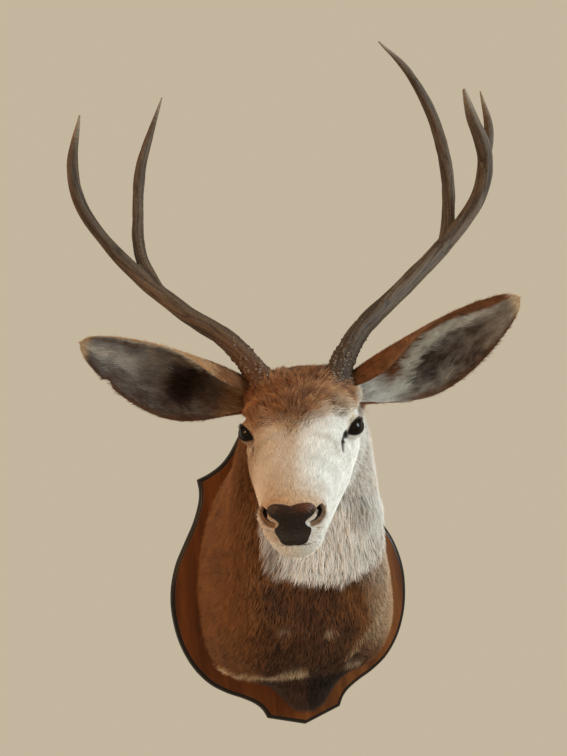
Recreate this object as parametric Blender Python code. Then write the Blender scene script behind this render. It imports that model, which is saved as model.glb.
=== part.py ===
"""Mule deer shoulder mount on a shield-shaped wall plaque, life size.

Frame: metres, +Z up, +X to the right of someone facing the mount, -Y out of the wall.
The origin is the middle of the plaque's back face, which lies flat against the wall.
"Left" and "right" are the deer's own: its left ear and antler are on +X.

The hide is one loft from the nose to the plaque, parted into a person's names for it.
Every solid reaches out to the tips of the coat.
"""
import bmesh
import bpy
import math
import numpy as np
from mathutils import Matrix, Vector

# ---- driving sizes --------------------------------------------------------------------
GAP = 0.0003                    # clearance that touching pieces keep

PLAQUE_HEIGHT = 0.580
PLAQUE_THICK = 0.019
PLAQUE_EDGE = ((0.0, 0.0), (0.007, 0.0005), (0.013, 0.003), (0.017, 0.0078), (PLAQUE_THICK, 0.0100))

FACE_PITCH = math.radians(28)   # how far the line from eyes to nose drops below level
HEAD_YAW = math.radians(-16.4)  # the head turns to the deer's right
HEAD_ROLL = math.radians(-3.9)  # and leans a little to its left
EYES_REACH = 0.466              # mid-eyes, measured out from the wall with the head straight
EYES_HEIGHT = 0.1855
NECK_PIVOT = 0.345              # where the head turns on the neck, out from the wall

EYE_RADIUS = 0.0165
EYE_PLACE = (0.0625, -0.006, 0.000)     # lateral, forward, up in the head's frame

EAR_THICK = (0.0085, 0.0045)    # at the root and at the tip, hair included
EAR_SIDE_POINTS = 11            # points across each face of an ear

HIDE_SEGMENTS = 32
HIDE_STEP = 0.5                 # stations between two rings of the hide
TUBE_SIDES = 10
TUBE_STEP = 0.25                # stations between two rings of an antler


# ---- shared tools ---------------------------------------------------------------------
def clear_scene():
    for item in list(bpy.data.objects):
        bpy.data.objects.remove(item, do_unlink=True)


def make_material(name, colour, roughness):
    made = bpy.data.materials.new(name)
    made.use_nodes = True
    shader = made.node_tree.nodes["Principled BSDF"]
    shader.inputs["Base Color"].default_value = (*colour, 1.0)
    shader.inputs["Roughness"].default_value = roughness
    shader.inputs["Metallic"].default_value = 0.0
    made.diffuse_color = (*colour, 1.0)
    return made


def outward_bmesh(verts, faces):
    """A welded mesh from points and faces, with every face pointing out."""
    shape = bmesh.new()
    made = [shape.verts.new(tuple(v)) for v in verts]
    for face in faces:
        shape.faces.new([made[i] for i in face])
    bmesh.ops.remove_doubles(shape, verts=shape.verts, dist=1e-6)
    bmesh.ops.recalc_face_normals(shape, faces=shape.faces)
    if shape.calc_volume(signed=True) < 0:
        bmesh.ops.reverse_faces(shape, faces=shape.faces)
    return shape


def make_object(name, shape, material):
    """Turns a bmesh into a named, smooth-shaded object, and frees it."""
    mesh = bpy.data.meshes.new(name)
    shape.to_mesh(mesh)
    shape.free()
    mesh.shade_smooth()
    mesh.materials.append(material)
    made = bpy.data.objects.new(name, mesh)
    bpy.context.scene.collection.objects.link(made)
    return made


def combine(target, operation, shape, name):
    """A live Boolean with a hidden object made from the given bmesh."""
    other = make_object(name, shape, target.data.materials[0])
    other.hide_render = True
    other.display_type = "WIRE"
    modifier = target.modifiers.new(name, "BOOLEAN")
    modifier.operation = operation
    modifier.solver = "EXACT"
    modifier.object = other


def swell(shape, by):
    """Pushes a mesh out along its normals, to cut its neighbours with a clearance."""
    shape.normal_update()
    moved = [v.co + v.normal * by for v in shape.verts]
    for vert, place in zip(shape.verts, moved):
        vert.co = place
    return shape


def keep_side(shape, point, normal):
    """Cuts a closed mesh at a plane, keeps what the normal points to and closes the cut."""
    geometry = shape.verts[:] + shape.edges[:] + shape.faces[:]
    bmesh.ops.bisect_plane(shape, geom=geometry, plane_co=point, plane_no=normal, clear_inner=True)
    rim = [edge for edge in shape.edges if edge.is_boundary]
    bmesh.ops.contextual_create(shape, geom=rim)
    bmesh.ops.recalc_face_normals(shape, faces=shape.faces)
    return shape


def loft(rings):
    """A closed skin through equal rings of points, with a fan at each end."""
    count = len(rings[0])
    verts = [point for ring in rings for point in ring]
    faces = []
    for r in range(len(rings) - 1):
        for i in range(count):
            j = (i + 1) % count
            faces.append((r * count + i, r * count + j, (r + 1) * count + i))
            faces.append((r * count + j, (r + 1) * count + j, (r + 1) * count + i))
    for first in (0, (len(rings) - 1) * count):
        verts.append(np.mean(verts[first:first + count], axis=0))
        faces += [(first + i, first + (i + 1) % count, len(verts) - 1) for i in range(count)]
    return outward_bmesh(verts, faces)


def spline(rows, at):
    """Rows of numbers read along a Catmull-Rom curve; at runs from 0 to the last row."""
    table = np.array(rows, dtype=float)
    at = min(max(at, 0.0), len(table) - 1.0)
    k = min(int(at), len(table) - 2)
    t = at - k
    a, b = table[k], table[k + 1]
    before = table[k - 1] if k > 0 else 2 * a - b
    after = table[k + 2] if k + 2 < len(table) else 2 * b - a
    return 0.5 * (2 * a + (b - before) * t + (2 * before - 5 * a + 4 * b - after) * t * t
                  + (3 * a - before - 3 * b + after) * t ** 3)


def smooth(share):
    share = min(max(share, 0.0), 1.0)
    return share * share * (3 - 2 * share)


# ---- plaque: one board with an ogee cut all round its edge ------------------------------
# Half of the outline from the bottom tip to the top peak: distance from the middle line and
# height above the tip. Each stretch ends in a corner and is straight or a smooth curve.
PLAQUE_HALF = (
    ((0.0000, 0.0000), (0.0685, 0.0200)),
    ((0.0685, 0.0200), (0.0765, 0.0345), (0.0890, 0.0465), (0.1110, 0.0590), (0.1400, 0.0725),
     (0.1715, 0.0935), (0.2000, 0.1275), (0.2205, 0.1720), (0.2300, 0.2210), (0.2290, 0.2640),
     (0.2180, 0.3060), (0.1990, 0.3440), (0.1800, 0.3800), (0.1680, 0.4130), (0.1640, 0.4380),
     (0.1667, 0.4623)),
    ((0.1667, 0.4623), (0.1425, 0.4722), (0.1195, 0.4865), (0.1010, 0.5055), (0.0870, 0.5265),
     (0.0690, 0.5560)),
    ((0.0690, 0.5560), (0.0000, PLAQUE_HEIGHT)),
)


def plaque_outline():
    half = []
    for stretch in PLAQUE_HALF:
        steps = 1 if len(stretch) == 2 else 2 * (len(stretch) - 1)
        half += [spline(stretch, i * (len(stretch) - 1) / steps) for i in range(steps)]
    half.append(np.array(PLAQUE_HALF[-1][-1]))
    mirrored = [(-x, z) for x, z in reversed(half[1:-1])]
    return [np.array((x, z - PLAQUE_HEIGHT / 2)) for x, z in half + mirrored]


def inset_outline(points, by):
    """The outline moved inwards: each corner goes along the bisector of its two sides."""
    moved = []
    for i, here in enumerate(points):
        before, after = points[i - 1], points[(i + 1) % len(points)]
        one = (here - before) / np.linalg.norm(here - before)
        two = (after - here) / np.linalg.norm(after - here)
        inward = np.array((-(one + two)[1], (one + two)[0]))
        inward /= np.linalg.norm(inward)
        slant = float(np.dot(inward, np.array((-one[1], one[0]))))
        moved.append(here + inward * by / slant)
    return moved


def build_plaque(material):
    outline = plaque_outline()
    count = len(outline)
    verts, faces = [], []
    for depth, inset in PLAQUE_EDGE:
        verts += [(x, -depth, z) for x, z in inset_outline(outline, inset)]
    for layer in range(len(PLAQUE_EDGE) - 1):
        for i in range(count):
            j = (i + 1) % count
            faces.append((layer * count + i, layer * count + j,
                          (layer + 1) * count + j, (layer + 1) * count + i))
    faces.append(tuple(range(count)))
    faces.append(tuple(len(verts) - count + i for i in range(count)))
    board = make_object("plaque_board", outward_bmesh(verts, faces), material)
    board.data.set_sharp_from_angle(angle=math.radians(30))


# ---- the head's frame -------------------------------------------------------------------
# Its origin lies between the eyes; forward runs down the face to the nose.
def straight_point(forward, up):
    """A point of the head's frame as (reach from the wall, height), with the head straight."""
    c, s = math.cos(FACE_PITCH), math.sin(FACE_PITCH)
    return (EYES_REACH + c * forward + s * up, EYES_HEIGHT - s * forward + c * up)


def head_turn(share):
    """The head's lean about its face line, then its turn on the neck. Share 0 moves nothing."""
    eyes = Matrix.Translation((0, -EYES_REACH, EYES_HEIGHT))
    face_line = Vector((0, -math.cos(FACE_PITCH), -math.sin(FACE_PITCH)))
    lean = eyes @ Matrix.Rotation(HEAD_ROLL * share, 4, face_line) @ eyes.inverted()
    pivot = Matrix.Translation((0, -NECK_PIVOT, 0))
    return pivot @ Matrix.Rotation(HEAD_YAW * share, 4, "Z") @ pivot.inverted() @ lean


def head_to_row():
    """The matrix from the head's frame (lateral, forward, up) to the row frame."""
    c, s = math.cos(FACE_PITCH), math.sin(FACE_PITCH)
    axes = Matrix(((1, 0, 0, 0), (0, -c, -s, -EYES_REACH), (0, -s, c, EYES_HEIGHT), (0, 0, 0, 1)))
    return head_turn(1.0) @ axes


# ---- the hide -----------------------------------------------------------------------------
# Head stations: top (forward, up), underside (forward, up), half width, height of the widest
# level as a share, and how square the section is above and below that level.
HEAD_STATIONS = (
    ((0.2030, -0.0120), (0.1990, -0.0340), 0.0110, 0.55, 2.0, 2.0),
    ((0.1990, 0.0000), (0.1900, -0.0530), 0.0235, 0.56, 2.3, 2.0),
    ((0.1910, 0.0075), (0.1790, -0.0670), 0.0305, 0.58, 2.4, 2.0),
    ((0.1790, 0.0120), (0.1640, -0.0730), 0.0330, 0.56, 2.4, 2.0),
    ((0.1600, 0.0165), (0.1440, -0.0740), 0.0365, 0.52, 2.4, 2.1),
    ((0.1350, 0.0210), (0.1190, -0.0740), 0.0430, 0.48, 2.4, 2.2),
    ((0.1050, 0.0255), (0.0880, -0.0760), 0.0510, 0.48, 2.4, 2.2),
    ((0.0750, 0.0305), (0.0560, -0.0810), 0.0580, 0.49, 2.5, 2.2),
    ((0.0450, 0.0365), (0.0240, -0.0890), 0.0640, 0.53, 2.6, 2.2),
    ((0.0150, 0.0430), (-0.0080, -0.0990), 0.0690, 0.57, 2.8, 2.1),
    ((-0.0150, 0.0500), (-0.0400, -0.1090), 0.0725, 0.60, 2.8, 2.0),
    ((-0.0450, 0.0565), (-0.0700, -0.1180), 0.0755, 0.58, 2.5, 2.0),
    ((-0.0780, 0.0600), (-0.0930, -0.1260), 0.0770, 0.55, 2.4, 2.0),
)
# Neck and shoulder stations: top (reach, height), underside (reach, height), then the same.
BODY_STATIONS = (
    ((0.3960, 0.2860), (0.3250, 0.1060), 0.0840, 0.52, 2.2, 2.0),
    ((0.3620, 0.2945), (0.3120, 0.0780), 0.0930, 0.50, 2.1, 2.0),
    ((0.3220, 0.2960), (0.3000, 0.0450), 0.1030, 0.48, 2.0, 2.0),
    ((0.2760, 0.2885), (0.2890, 0.0040), 0.1140, 0.45, 2.0, 2.0),
    ((0.2260, 0.2760), (0.2760, -0.0400), 0.1230, 0.41, 2.0, 2.1),
    ((0.1800, 0.2640), (0.2580, -0.0860), 0.1310, 0.38, 2.0, 2.3),
    ((0.1360, 0.2540), (0.2280, -0.1280), 0.1420, 0.36, 2.0, 2.5),
    ((0.0970, 0.2460), (0.1820, -0.1640), 0.1550, 0.35, 2.0, 2.8),
    ((0.0620, 0.2390), (0.1200, -0.1880), 0.1680, 0.34, 2.0, 3.0),
    ((0.0350, 0.2330), (0.0620, -0.2000), 0.1770, 0.34, 2.0, 3.2),
    ((PLAQUE_THICK + GAP, 0.2290), (PLAQUE_THICK + GAP, -0.2050), 0.1800, 0.34, 2.0, 3.2),
)
HEAD_COUNT = len(HEAD_STATIONS)
LAST_STATION = HEAD_COUNT + len(BODY_STATIONS) - 1
TURN_ENDS = (HEAD_COUNT + 3.5, HEAD_COUNT - 1.5)    # stations over which the head's turn grows

KEEL_DEPTH = 0.056              # the brisket hangs below the chest between the forelegs
KEEL_HALF_WIDTH = 0.052
KEEL_REACH = (0.155, 0.060)     # it fades in between these distances from the wall

# Swellings and hollows of the head: lateral, forward, up, spread, height.
HEAD_FORMS = (
    (0.072, -0.006, 0.021, 0.015, 0.0055),      # brow over the eye
    (0.067, -0.006, -0.024, 0.016, 0.0035),     # rim below the eye
    (0.064, 0.022, -0.006, 0.011, -0.0090),     # pit in front of the eye
    (0.056, -0.045, -0.066, 0.034, 0.0050),     # jaw muscle
    (0.028, 0.186, -0.012, 0.012, 0.0030),      # wing of the nostril
    (0.052, -0.080, 0.052, 0.018, 0.0100),      # pedicle under the antler
    (0.072, -0.095, 0.022, 0.026, 0.0080),      # root of the ear
    (0.000, -0.050, 0.060, 0.022, -0.0020),     # dip between the antlers
)


def station_row(at):
    """Top, underside, half width, widest level and squareness of the hide at a station."""
    rows = [(*straight_point(*top), *straight_point(*under), *rest)
            for top, under, *rest in HEAD_STATIONS]
    rows += [(*top, *under, *rest) for top, under, *rest in BODY_STATIONS]
    return spline(rows, at)


def head_form_lift(local):
    """How far the head's swellings push out a point of the head's frame."""
    lift = 0.0
    for lateral, forward, up, spread, height in HEAD_FORMS:
        off = Vector((abs(local.x) - lateral, local.y - forward, local.z - up)).length / spread
        lift += height * math.exp(-off * off)
    return lift


def hide_ring(at):
    row = station_row(at)
    top, under = np.array(row[0:2]), np.array(row[2:4])
    half_width, level, square_top, square_under = row[4:8]
    centre = under + level * (top - under)
    turn = head_turn(smooth((TURN_ENDS[0] - at) / (TURN_ENDS[0] - TURN_ENDS[1])))
    middle = turn @ Vector((0, -centre[0], centre[1]))
    row_to_head = head_to_row().inverted()
    ring = []
    for i in range(HIDE_SEGMENTS):
        angle = 2 * math.pi * (i + 0.5) / HIDE_SEGMENTS
        side, rise = math.sin(angle), math.cos(angle)
        power = square_top if rise > 0 else square_under
        stretch = (abs(side) ** power + abs(rise) ** power) ** (-1 / power)
        lateral = half_width * stretch * side
        spine = centre + stretch * abs(rise) * ((top if rise > 0 else under) - centre)
        if rise < 0:
            fade = smooth((KEEL_REACH[0] - spine[0]) / (KEEL_REACH[0] - KEEL_REACH[1]))
            narrow = math.exp(-(abs(lateral) / KEEL_HALF_WIDTH) ** 3)
            spine = spine - np.array((0.0, KEEL_DEPTH * fade * narrow * rise * rise))
        point = turn @ Vector((lateral, -spine[0], spine[1]))
        if at < HEAD_COUNT + 1:
            point += (point - middle).normalized() * head_form_lift(row_to_head @ point)
        ring.append(point)
    return ring


def hide_stretch(first, last):
    """A closed length of the hide between two stations, with rings at every HIDE_STEP."""
    between = range(int(first / HIDE_STEP) + 1, math.ceil(last / HIDE_STEP))
    return loft([hide_ring(at) for at in (first, *(k * HIDE_STEP for k in between), last)])


# Where the hide is parted, in stations, and the clearance there as a share of a station.
FRONT_END, HEAD_END, NECK_END = 6.5, HEAD_COUNT + 0.5, HEAD_COUNT + 6
PARTING = 0.02
# The mouth is a plane through two points of the head's frame (forward, up), and the nose pad
# is what lies above it in front of a second plane.
MOUTH_FRONT, MOUTH_BACK = (0.197, -0.0455), (0.130, -0.0530)
NOSE_PAD_BACK = 0.1915


def build_front(materials):
    """The muzzle, the nose pad and the lower jaw, parted at the mouth."""
    place = head_to_row()
    turned = place.to_3x3()
    slope = (MOUTH_FRONT[1] - MOUTH_BACK[1]) / (MOUTH_FRONT[0] - MOUTH_BACK[0])
    mouth = place @ Vector((0, *MOUTH_FRONT))
    above = (turned @ Vector((0, -slope, 1))).normalized()
    pad_back = place @ Vector((0, NOSE_PAD_BACK, 0))
    ahead = (turned @ Vector((0, 1, -0.25))).normalized()

    jaw = keep_side(hide_stretch(0, FRONT_END), mouth - above * GAP, -above)
    make_object("lower_jaw", jaw, materials["coat_white"])
    pad = keep_side(hide_stretch(0, FRONT_END), mouth, above)
    make_object("nose_pad", keep_side(pad, pad_back, ahead), materials["nose_leather"])
    muzzle = keep_side(hide_stretch(0, FRONT_END), mouth, above)
    make_object("muzzle", keep_side(muzzle, pad_back - ahead * GAP, -ahead), materials["coat_grey"])


def build_hide(materials):
    build_front(materials)
    head = make_object("head", hide_stretch(FRONT_END + PARTING, HEAD_END), materials["coat_grey"])
    make_object("neck", hide_stretch(HEAD_END + PARTING, NECK_END), materials["coat_brown"])
    make_object("shoulders", hide_stretch(NECK_END + PARTING, LAST_STATION), materials["coat_brown"])
    return head


# ---- eyes ------------------------------------------------------------------------------------
def eye_ball(side, radius):
    lateral, forward, up = EYE_PLACE
    shape = bmesh.new()
    place = Matrix.Translation(head_to_row() @ Vector((side * lateral, forward, up)))
    bmesh.ops.create_uvsphere(shape, u_segments=16, v_segments=10, radius=radius, matrix=place)
    return shape


def build_eyes(head, material):
    for side, name in ((-1, "eye_right"), (1, "eye_left")):
        make_object(name, eye_ball(side, EYE_RADIUS), material)
        combine(head, "DIFFERENCE", eye_ball(side, EYE_RADIUS + GAP), f"{name}_socket")


# ---- ears: a cupped leaf of hide and cartilage --------------------------------------------------
# Share of the length; half width and depth of the cup's curve; how far round the curve the
# upper and lower edges lie, in degrees; how far the section sits off the axis.
EAR_SECTIONS = (
    (0.00, 0.0240, 0.0240, 155, 150, 0.0000),
    (0.12, 0.0330, 0.0310, 155, 125, -0.0040),
    (0.25, 0.0430, 0.0360, 142, 100, -0.0100),
    (0.38, 0.0495, 0.0360, 118, 86, -0.0155),
    (0.50, 0.0515, 0.0330, 98, 78, -0.0165),
    (0.62, 0.0495, 0.0290, 84, 72, -0.0150),
    (0.74, 0.0435, 0.0240, 76, 68, -0.0115),
    (0.85, 0.0340, 0.0180, 70, 66, -0.0070),
    (0.93, 0.0245, 0.0130, 67, 65, -0.0035),
    (0.98, 0.0145, 0.0090, 65, 65, -0.0010),
    (1.00, 0.0060, 0.0070, 65, 65, 0.0000),
)
# Root and tip in the row frame, and the way that the cup opens.
EARS = {
    "ear_right": ((-0.079, -0.366, 0.256), (-0.309, -0.400, 0.339), (-0.10, -0.93, -0.35)),
    "ear_left": ((0.055, -0.404, 0.250), (0.275, -0.505, 0.334), (0.12, -0.90, -0.36)),
}
EAR_SEAT = 0.55                 # share of the cup's depth that stands in front of the axis


def ear_frame(name):
    root, tip, opening = (Vector(v) for v in EARS[name])
    along = (tip - root).normalized()
    opening = (opening - along * opening.dot(along)).normalized()
    across = along.cross(opening)
    return root, tip, opening, across if across.z > 0 else -across


def ear_rings(name):
    root, tip, opening, across = ear_frame(name)
    rings = []
    for share, half_width, depth, upper, lower, drop in EAR_SECTIONS:
        thick = EAR_THICK[0] + (EAR_THICK[1] - EAR_THICK[0]) * share
        centre = root.lerp(tip, share) + across * drop + opening * depth * EAR_SEAT
        angles = [math.radians(-lower + (upper + lower) * i / (EAR_SIDE_POINTS - 1))
                  for i in range(EAR_SIDE_POINTS)]
        outer = [centre + across * half_width * math.sin(a) - opening * depth * math.cos(a)
                 for a in angles]
        inner = [centre + across * (half_width - thick) * math.sin(a)
                 - opening * (depth - thick) * math.cos(a) for a in reversed(angles)]
        rings.append(outer + inner)
    return rings


def build_ears(seat, material):
    for name in EARS:
        ear = make_object(name, loft(ear_rings(name)), material)
        combine(ear, "DIFFERENCE", seat.copy(), f"{name}_seat")
        beam = LEFT_BEAM if name == "ear_left" else RIGHT_BEAM
        combine(ear, "DIFFERENCE", tube(beam, 0, 2, GAP), f"{name}_off_antler")


# ---- antlers --------------------------------------------------------------------------------------
# Centre lines in the row frame with the radius. The right antler has two points and the left
# one three.
RIGHT_BEAM = (
    (-0.066, -0.410, 0.262, 0.0180), (-0.105, -0.386, 0.331, 0.0150),
    (-0.167, -0.367, 0.388, 0.0135), (-0.226, -0.361, 0.447, 0.0125),
    (-0.270, -0.376, 0.495, 0.0102), (-0.302, -0.405, 0.540, 0.0092),
    (-0.308, -0.436, 0.588, 0.0084), (-0.291, -0.470, 0.643, 0.0016),
)
RIGHT_BACK_TINE = (
    (-0.206, -0.360, 0.430, 0.0115), (-0.228, -0.353, 0.490, 0.0098),
    (-0.229, -0.351, 0.562, 0.0090), (-0.219, -0.362, 0.640, 0.0084),
    (-0.180, -0.400, 0.733, 0.0014),
)
LEFT_BEAM = (
    (0.022, -0.438, 0.250, 0.0185), (0.075, -0.416, 0.327, 0.0150),
    (0.160, -0.401, 0.400, 0.0140), (0.236, -0.402, 0.466, 0.0135),
    (0.291, -0.429, 0.528, 0.0125), (0.294, -0.468, 0.577, 0.0115),
    (0.256, -0.514, 0.613, 0.0078), (0.231, -0.548, 0.627, 0.0026),
)
LEFT_BACK_TINE = (
    (0.226, -0.400, 0.448, 0.0120), (0.255, -0.395, 0.512, 0.0110),
    (0.273, -0.389, 0.606, 0.0106), (0.262, -0.398, 0.700, 0.0096),
    (0.215, -0.434, 0.757, 0.0062), (0.156, -0.470, 0.781, 0.0014),
)
LEFT_REAR_POINT = (
    (0.296, -0.462, 0.570, 0.0085), (0.307, -0.473, 0.622, 0.0072),
    (0.299, -0.484, 0.681, 0.0014),
)
# Lengths of beam that are parts of their own, by the stations where they begin and end.
BEAM_PARTS = (
    ("antler_right_base", RIGHT_BEAM, 0.0, 2.75),
    ("antler_right_front_point", RIGHT_BEAM, 2.75, 7.0),
    ("antler_left_base", LEFT_BEAM, 0.0, 3.25),
    ("antler_left_front_beam", LEFT_BEAM, 3.25, 4.75),
    ("antler_left_front_point", LEFT_BEAM, 4.75, 7.0),
)
TINES = (
    ("antler_right_back_tine", RIGHT_BACK_TINE, RIGHT_BEAM),
    ("antler_left_back_tine", LEFT_BACK_TINE, LEFT_BEAM),
    ("antler_left_rear_point", LEFT_REAR_POINT, LEFT_BEAM),
)
FORK_PARTING = 0.006            # clearance at a fork, in stations of the beam
# A small brow point on each base: station, the way that it points, its root radius and height.
BROW_NUBS = {
    "antler_right_base": (1.30, (-0.45, -0.30, 0.85), 0.0060, 0.0060),
    "antler_left_base": (1.55, (-0.10, -0.95, 0.25), 0.0045, 0.0030),
}


def tube(line, first, last, radius_extra=0.0):
    """A tapering tube along a line of (x, y, z, radius), with rings square to its direction."""
    steps = max(2, round((last - first) / TUBE_STEP))
    rings = []
    side = None
    for i in range(steps + 1):
        at = first + (last - first) * i / steps
        here = spline(line, at)
        way = Vector((spline(line, at + 0.02) - spline(line, at - 0.02))[:3]).normalized()
        side = way.orthogonal() if side is None else side - way * side.dot(way)
        side.normalize()
        over = way.cross(side)
        radius = float(here[3]) + radius_extra
        turns = [2 * math.pi * k / TUBE_SIDES for k in range(TUBE_SIDES)]
        rings.append([Vector(here[:3]) + radius * (side * math.cos(a) + over * math.sin(a))
                      for a in turns])
    return loft(rings)


def brow_nub(line, at, way, root_radius, height):
    """A small blunt point, rooted inside the beam."""
    here = spline(line, at)
    middle, radius = Vector(here[:3]), here[3]
    way = Vector(way).normalized()
    tip = middle + way * (radius + height)
    shoulder = middle + way * radius * 0.75
    return tube(((*middle, root_radius), (*shoulder, root_radius), (*tip, 0.0015)), 0, 2)


def build_antlers(seat, material):
    for name, line, first, last in BEAM_PARTS:
        start = first + FORK_PARTING if first else first
        made = make_object(name, tube(line, start, last), material)
        if name in BROW_NUBS:
            combine(made, "UNION", brow_nub(line, *BROW_NUBS[name]), f"{name}_brow_nub")
            combine(made, "DIFFERENCE", seat.copy(), f"{name}_seat")
    for name, line, beam in TINES:
        made = make_object(name, tube(line, 0, len(line) - 1), material)
        for part, part_beam, first, last in BEAM_PARTS:
            if part_beam is beam:
                start = first + FORK_PARTING if first else first
                combine(made, "DIFFERENCE", tube(beam, start, last, GAP), f"{name}_off_{part}")


# ---- assembly ----------------------------------------------------------------------------------------
def main():
    clear_scene()
    materials = {
        "plaque_wood": make_material("plaque_wood", (0.30, 0.11, 0.035), 0.35),
        "coat_brown": make_material("coat_brown", (0.26, 0.15, 0.085), 0.9),
        "coat_grey": make_material("coat_grey", (0.48, 0.40, 0.32), 0.9),
        "coat_white": make_material("coat_white", (0.72, 0.67, 0.60), 0.9),
        "ear_hide": make_material("ear_hide", (0.36, 0.24, 0.16), 0.9),
        "nose_leather": make_material("nose_leather", (0.030, 0.018, 0.014), 0.25),
        "eye_glass": make_material("eye_glass", (0.010, 0.008, 0.007), 0.05),
        "antler_bone": make_material("antler_bone", (0.17, 0.11, 0.070), 0.55),
    }
    build_plaque(materials["plaque_wood"])
    head = build_hide(materials)
    build_eyes(head, materials["eye_glass"])
    seat = swell(hide_stretch(4, HEAD_COUNT + 4), GAP)
    build_ears(seat, materials["ear_hide"])
    build_antlers(seat, materials["antler_bone"])
    seat.free()


main()
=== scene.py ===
"""A mule deer's shoulder mount on a shield-shaped wall plaque, life size."""
import math

import bmesh
import bpy
import numpy as np
from mathutils import Matrix, Vector, kdtree


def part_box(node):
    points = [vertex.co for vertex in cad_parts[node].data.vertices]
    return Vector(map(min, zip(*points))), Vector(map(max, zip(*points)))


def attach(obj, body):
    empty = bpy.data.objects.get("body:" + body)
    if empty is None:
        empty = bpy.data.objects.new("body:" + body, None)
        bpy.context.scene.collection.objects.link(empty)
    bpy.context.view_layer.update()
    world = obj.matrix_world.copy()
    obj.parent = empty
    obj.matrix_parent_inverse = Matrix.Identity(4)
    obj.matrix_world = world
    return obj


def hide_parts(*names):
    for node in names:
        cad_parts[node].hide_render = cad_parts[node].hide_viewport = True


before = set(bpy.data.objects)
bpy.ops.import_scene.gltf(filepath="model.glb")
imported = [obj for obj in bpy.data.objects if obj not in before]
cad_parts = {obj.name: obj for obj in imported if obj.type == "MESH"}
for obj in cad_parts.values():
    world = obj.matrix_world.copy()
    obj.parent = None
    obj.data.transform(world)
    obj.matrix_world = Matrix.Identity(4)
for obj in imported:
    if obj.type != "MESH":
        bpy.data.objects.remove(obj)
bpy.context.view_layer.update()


# ---- room, light and camera ------------------------------------------------------------
# The mount hangs at eye height over a plain pale floor. A large cool light stands in front
# of it on one side and a smaller warm one on the other, with a pale room all round.
def set_inputs(node, values):
    for key, value in values.items():
        node.inputs[key].default_value = value


def node_material(name):
    """A new material, one function that adds nodes to it, one that wires them, and its surface."""
    made = bpy.data.materials.new(name)
    made.use_nodes = True
    tree = made.node_tree

    def add(kind, values=None, **settings):
        node = tree.nodes.new(f"ShaderNode{kind}")
        for key, value in settings.items():
            setattr(node, key, value)
        set_inputs(node, values or {})
        return node

    def wire(*rows):
        for one, output, two, entry in rows:
            tree.links.new(one.outputs[output], two.inputs[entry])

    return made, add, wire, tree.nodes["Principled BSDF"]


def soft_light(name, place, aim, size, power, colour):
    bpy.ops.object.light_add(type="AREA", location=place)
    lamp = bpy.context.object
    lamp.name = name
    lamp.data.shape = "DISK"
    lamp.data.size = size
    lamp.data.energy = power
    lamp.data.color = colour
    lamp.rotation_mode = "QUATERNION"
    lamp.rotation_quaternion = (Vector(aim) - Vector(place)).to_track_quat("-Z", "Y")


FLOOR_BELOW = 1.60

bpy.ops.mesh.primitive_circle_add(vertices=96, radius=3.0, fill_type="NGON", location=(0, -0.6, -FLOOR_BELOW))
floor = bpy.context.object
floor.name = "floor"
floor_paint, add, wire, shader = node_material("floor_paint")
set_inputs(shader, {"Base Color": (0.66, 0.62, 0.56, 1), "Roughness": 0.8})
floor.data.materials.append(floor_paint)

room = bpy.data.worlds.new("pale_room")
bpy.context.scene.world = room
room.use_nodes = True
set_inputs(room.node_tree.nodes["Background"], {"Color": (0.69, 0.585, 0.43, 1), "Strength": 0.80})
bpy.context.scene.view_settings.view_transform = "Standard"

HEAD_HEART = (-0.03, -0.45, 0.15)
soft_light("window_light", (1.45, -1.45, 0.45), HEAD_HEART, 0.9, 30, (0.82, 0.95, 1.0))
soft_light("lamp_light", (-1.7, -1.2, 0.55), HEAD_HEART, 0.7, 15, (1.0, 0.48, 0.20))

bpy.ops.object.camera_add(location=(-0.1686, -1.1618, 0.0850))
camera = bpy.context.object
camera.data.lens = 27
camera.data.sensor_width = 36
azimuth, elevation, roll = (math.radians(a) for a in (9.74, 13.59, -6.22))
level = math.cos(elevation)
looking = Vector((math.sin(azimuth) * level, math.cos(azimuth) * level, math.sin(elevation)))
upright = looking.to_track_quat("-Z", "Y").to_matrix()
camera.rotation_euler = (upright @ Matrix.Rotation(roll, 3, "Z")).to_euler()
bpy.context.scene.camera = camera


# ---- skin ---------------------------------------------------------------------------------
# One tanned hide over a carved form, from the nose to the plaque. It is lofted through
# stations: top and underside points, half width, widest level and squareness of a section.
def spline(rows, at):
    """Rows of numbers read along a Catmull-Rom curve at many places from 0 to the last row."""
    table = np.array(rows, float)
    at = np.clip(np.asarray(at, float), 0, len(table) - 1)
    k = np.minimum(at.astype(int), len(table) - 2)
    t = (at - k)[..., None]
    a, b = table[k], table[k + 1]
    before = np.where((k > 0)[..., None], table[np.maximum(k - 1, 0)], 2 * a - b)
    after = np.where((k + 2 < len(table))[..., None], table[np.minimum(k + 2, len(table) - 1)], 2 * b - a)
    return 0.5 * (2 * a + (b - before) * t + (2 * before - 5 * a + 4 * b - after) * t * t
                  + (3 * a - before - 3 * b + after) * t ** 3)


def smooth(share):
    share = np.clip(share, 0.0, 1.0)
    return share * share * (3 - 2 * share)


def unit(vectors):
    return vectors / np.maximum(np.linalg.norm(vectors, axis=-1, keepdims=True), 1e-12)


def move(points, matrix):
    return points @ matrix[:3, :3].T + matrix[:3, 3]


def apart(points, place):
    """How far each point is from one place."""
    return np.linalg.norm(points - np.array(place), axis=-1)


FACE_PITCH = math.radians(28)
HEAD_YAW = math.radians(-16.4)
HEAD_ROLL = math.radians(-3.9)
EYES_REACH = 0.466
EYES_HEIGHT = 0.1855
NECK_PIVOT = 0.345
BOARD_FACE = -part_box("plaque_board")[0].y


def straight_point(forward, up):
    c, s = math.cos(FACE_PITCH), math.sin(FACE_PITCH)
    return (EYES_REACH + c * forward + s * up, EYES_HEIGHT - s * forward + c * up)


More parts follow.
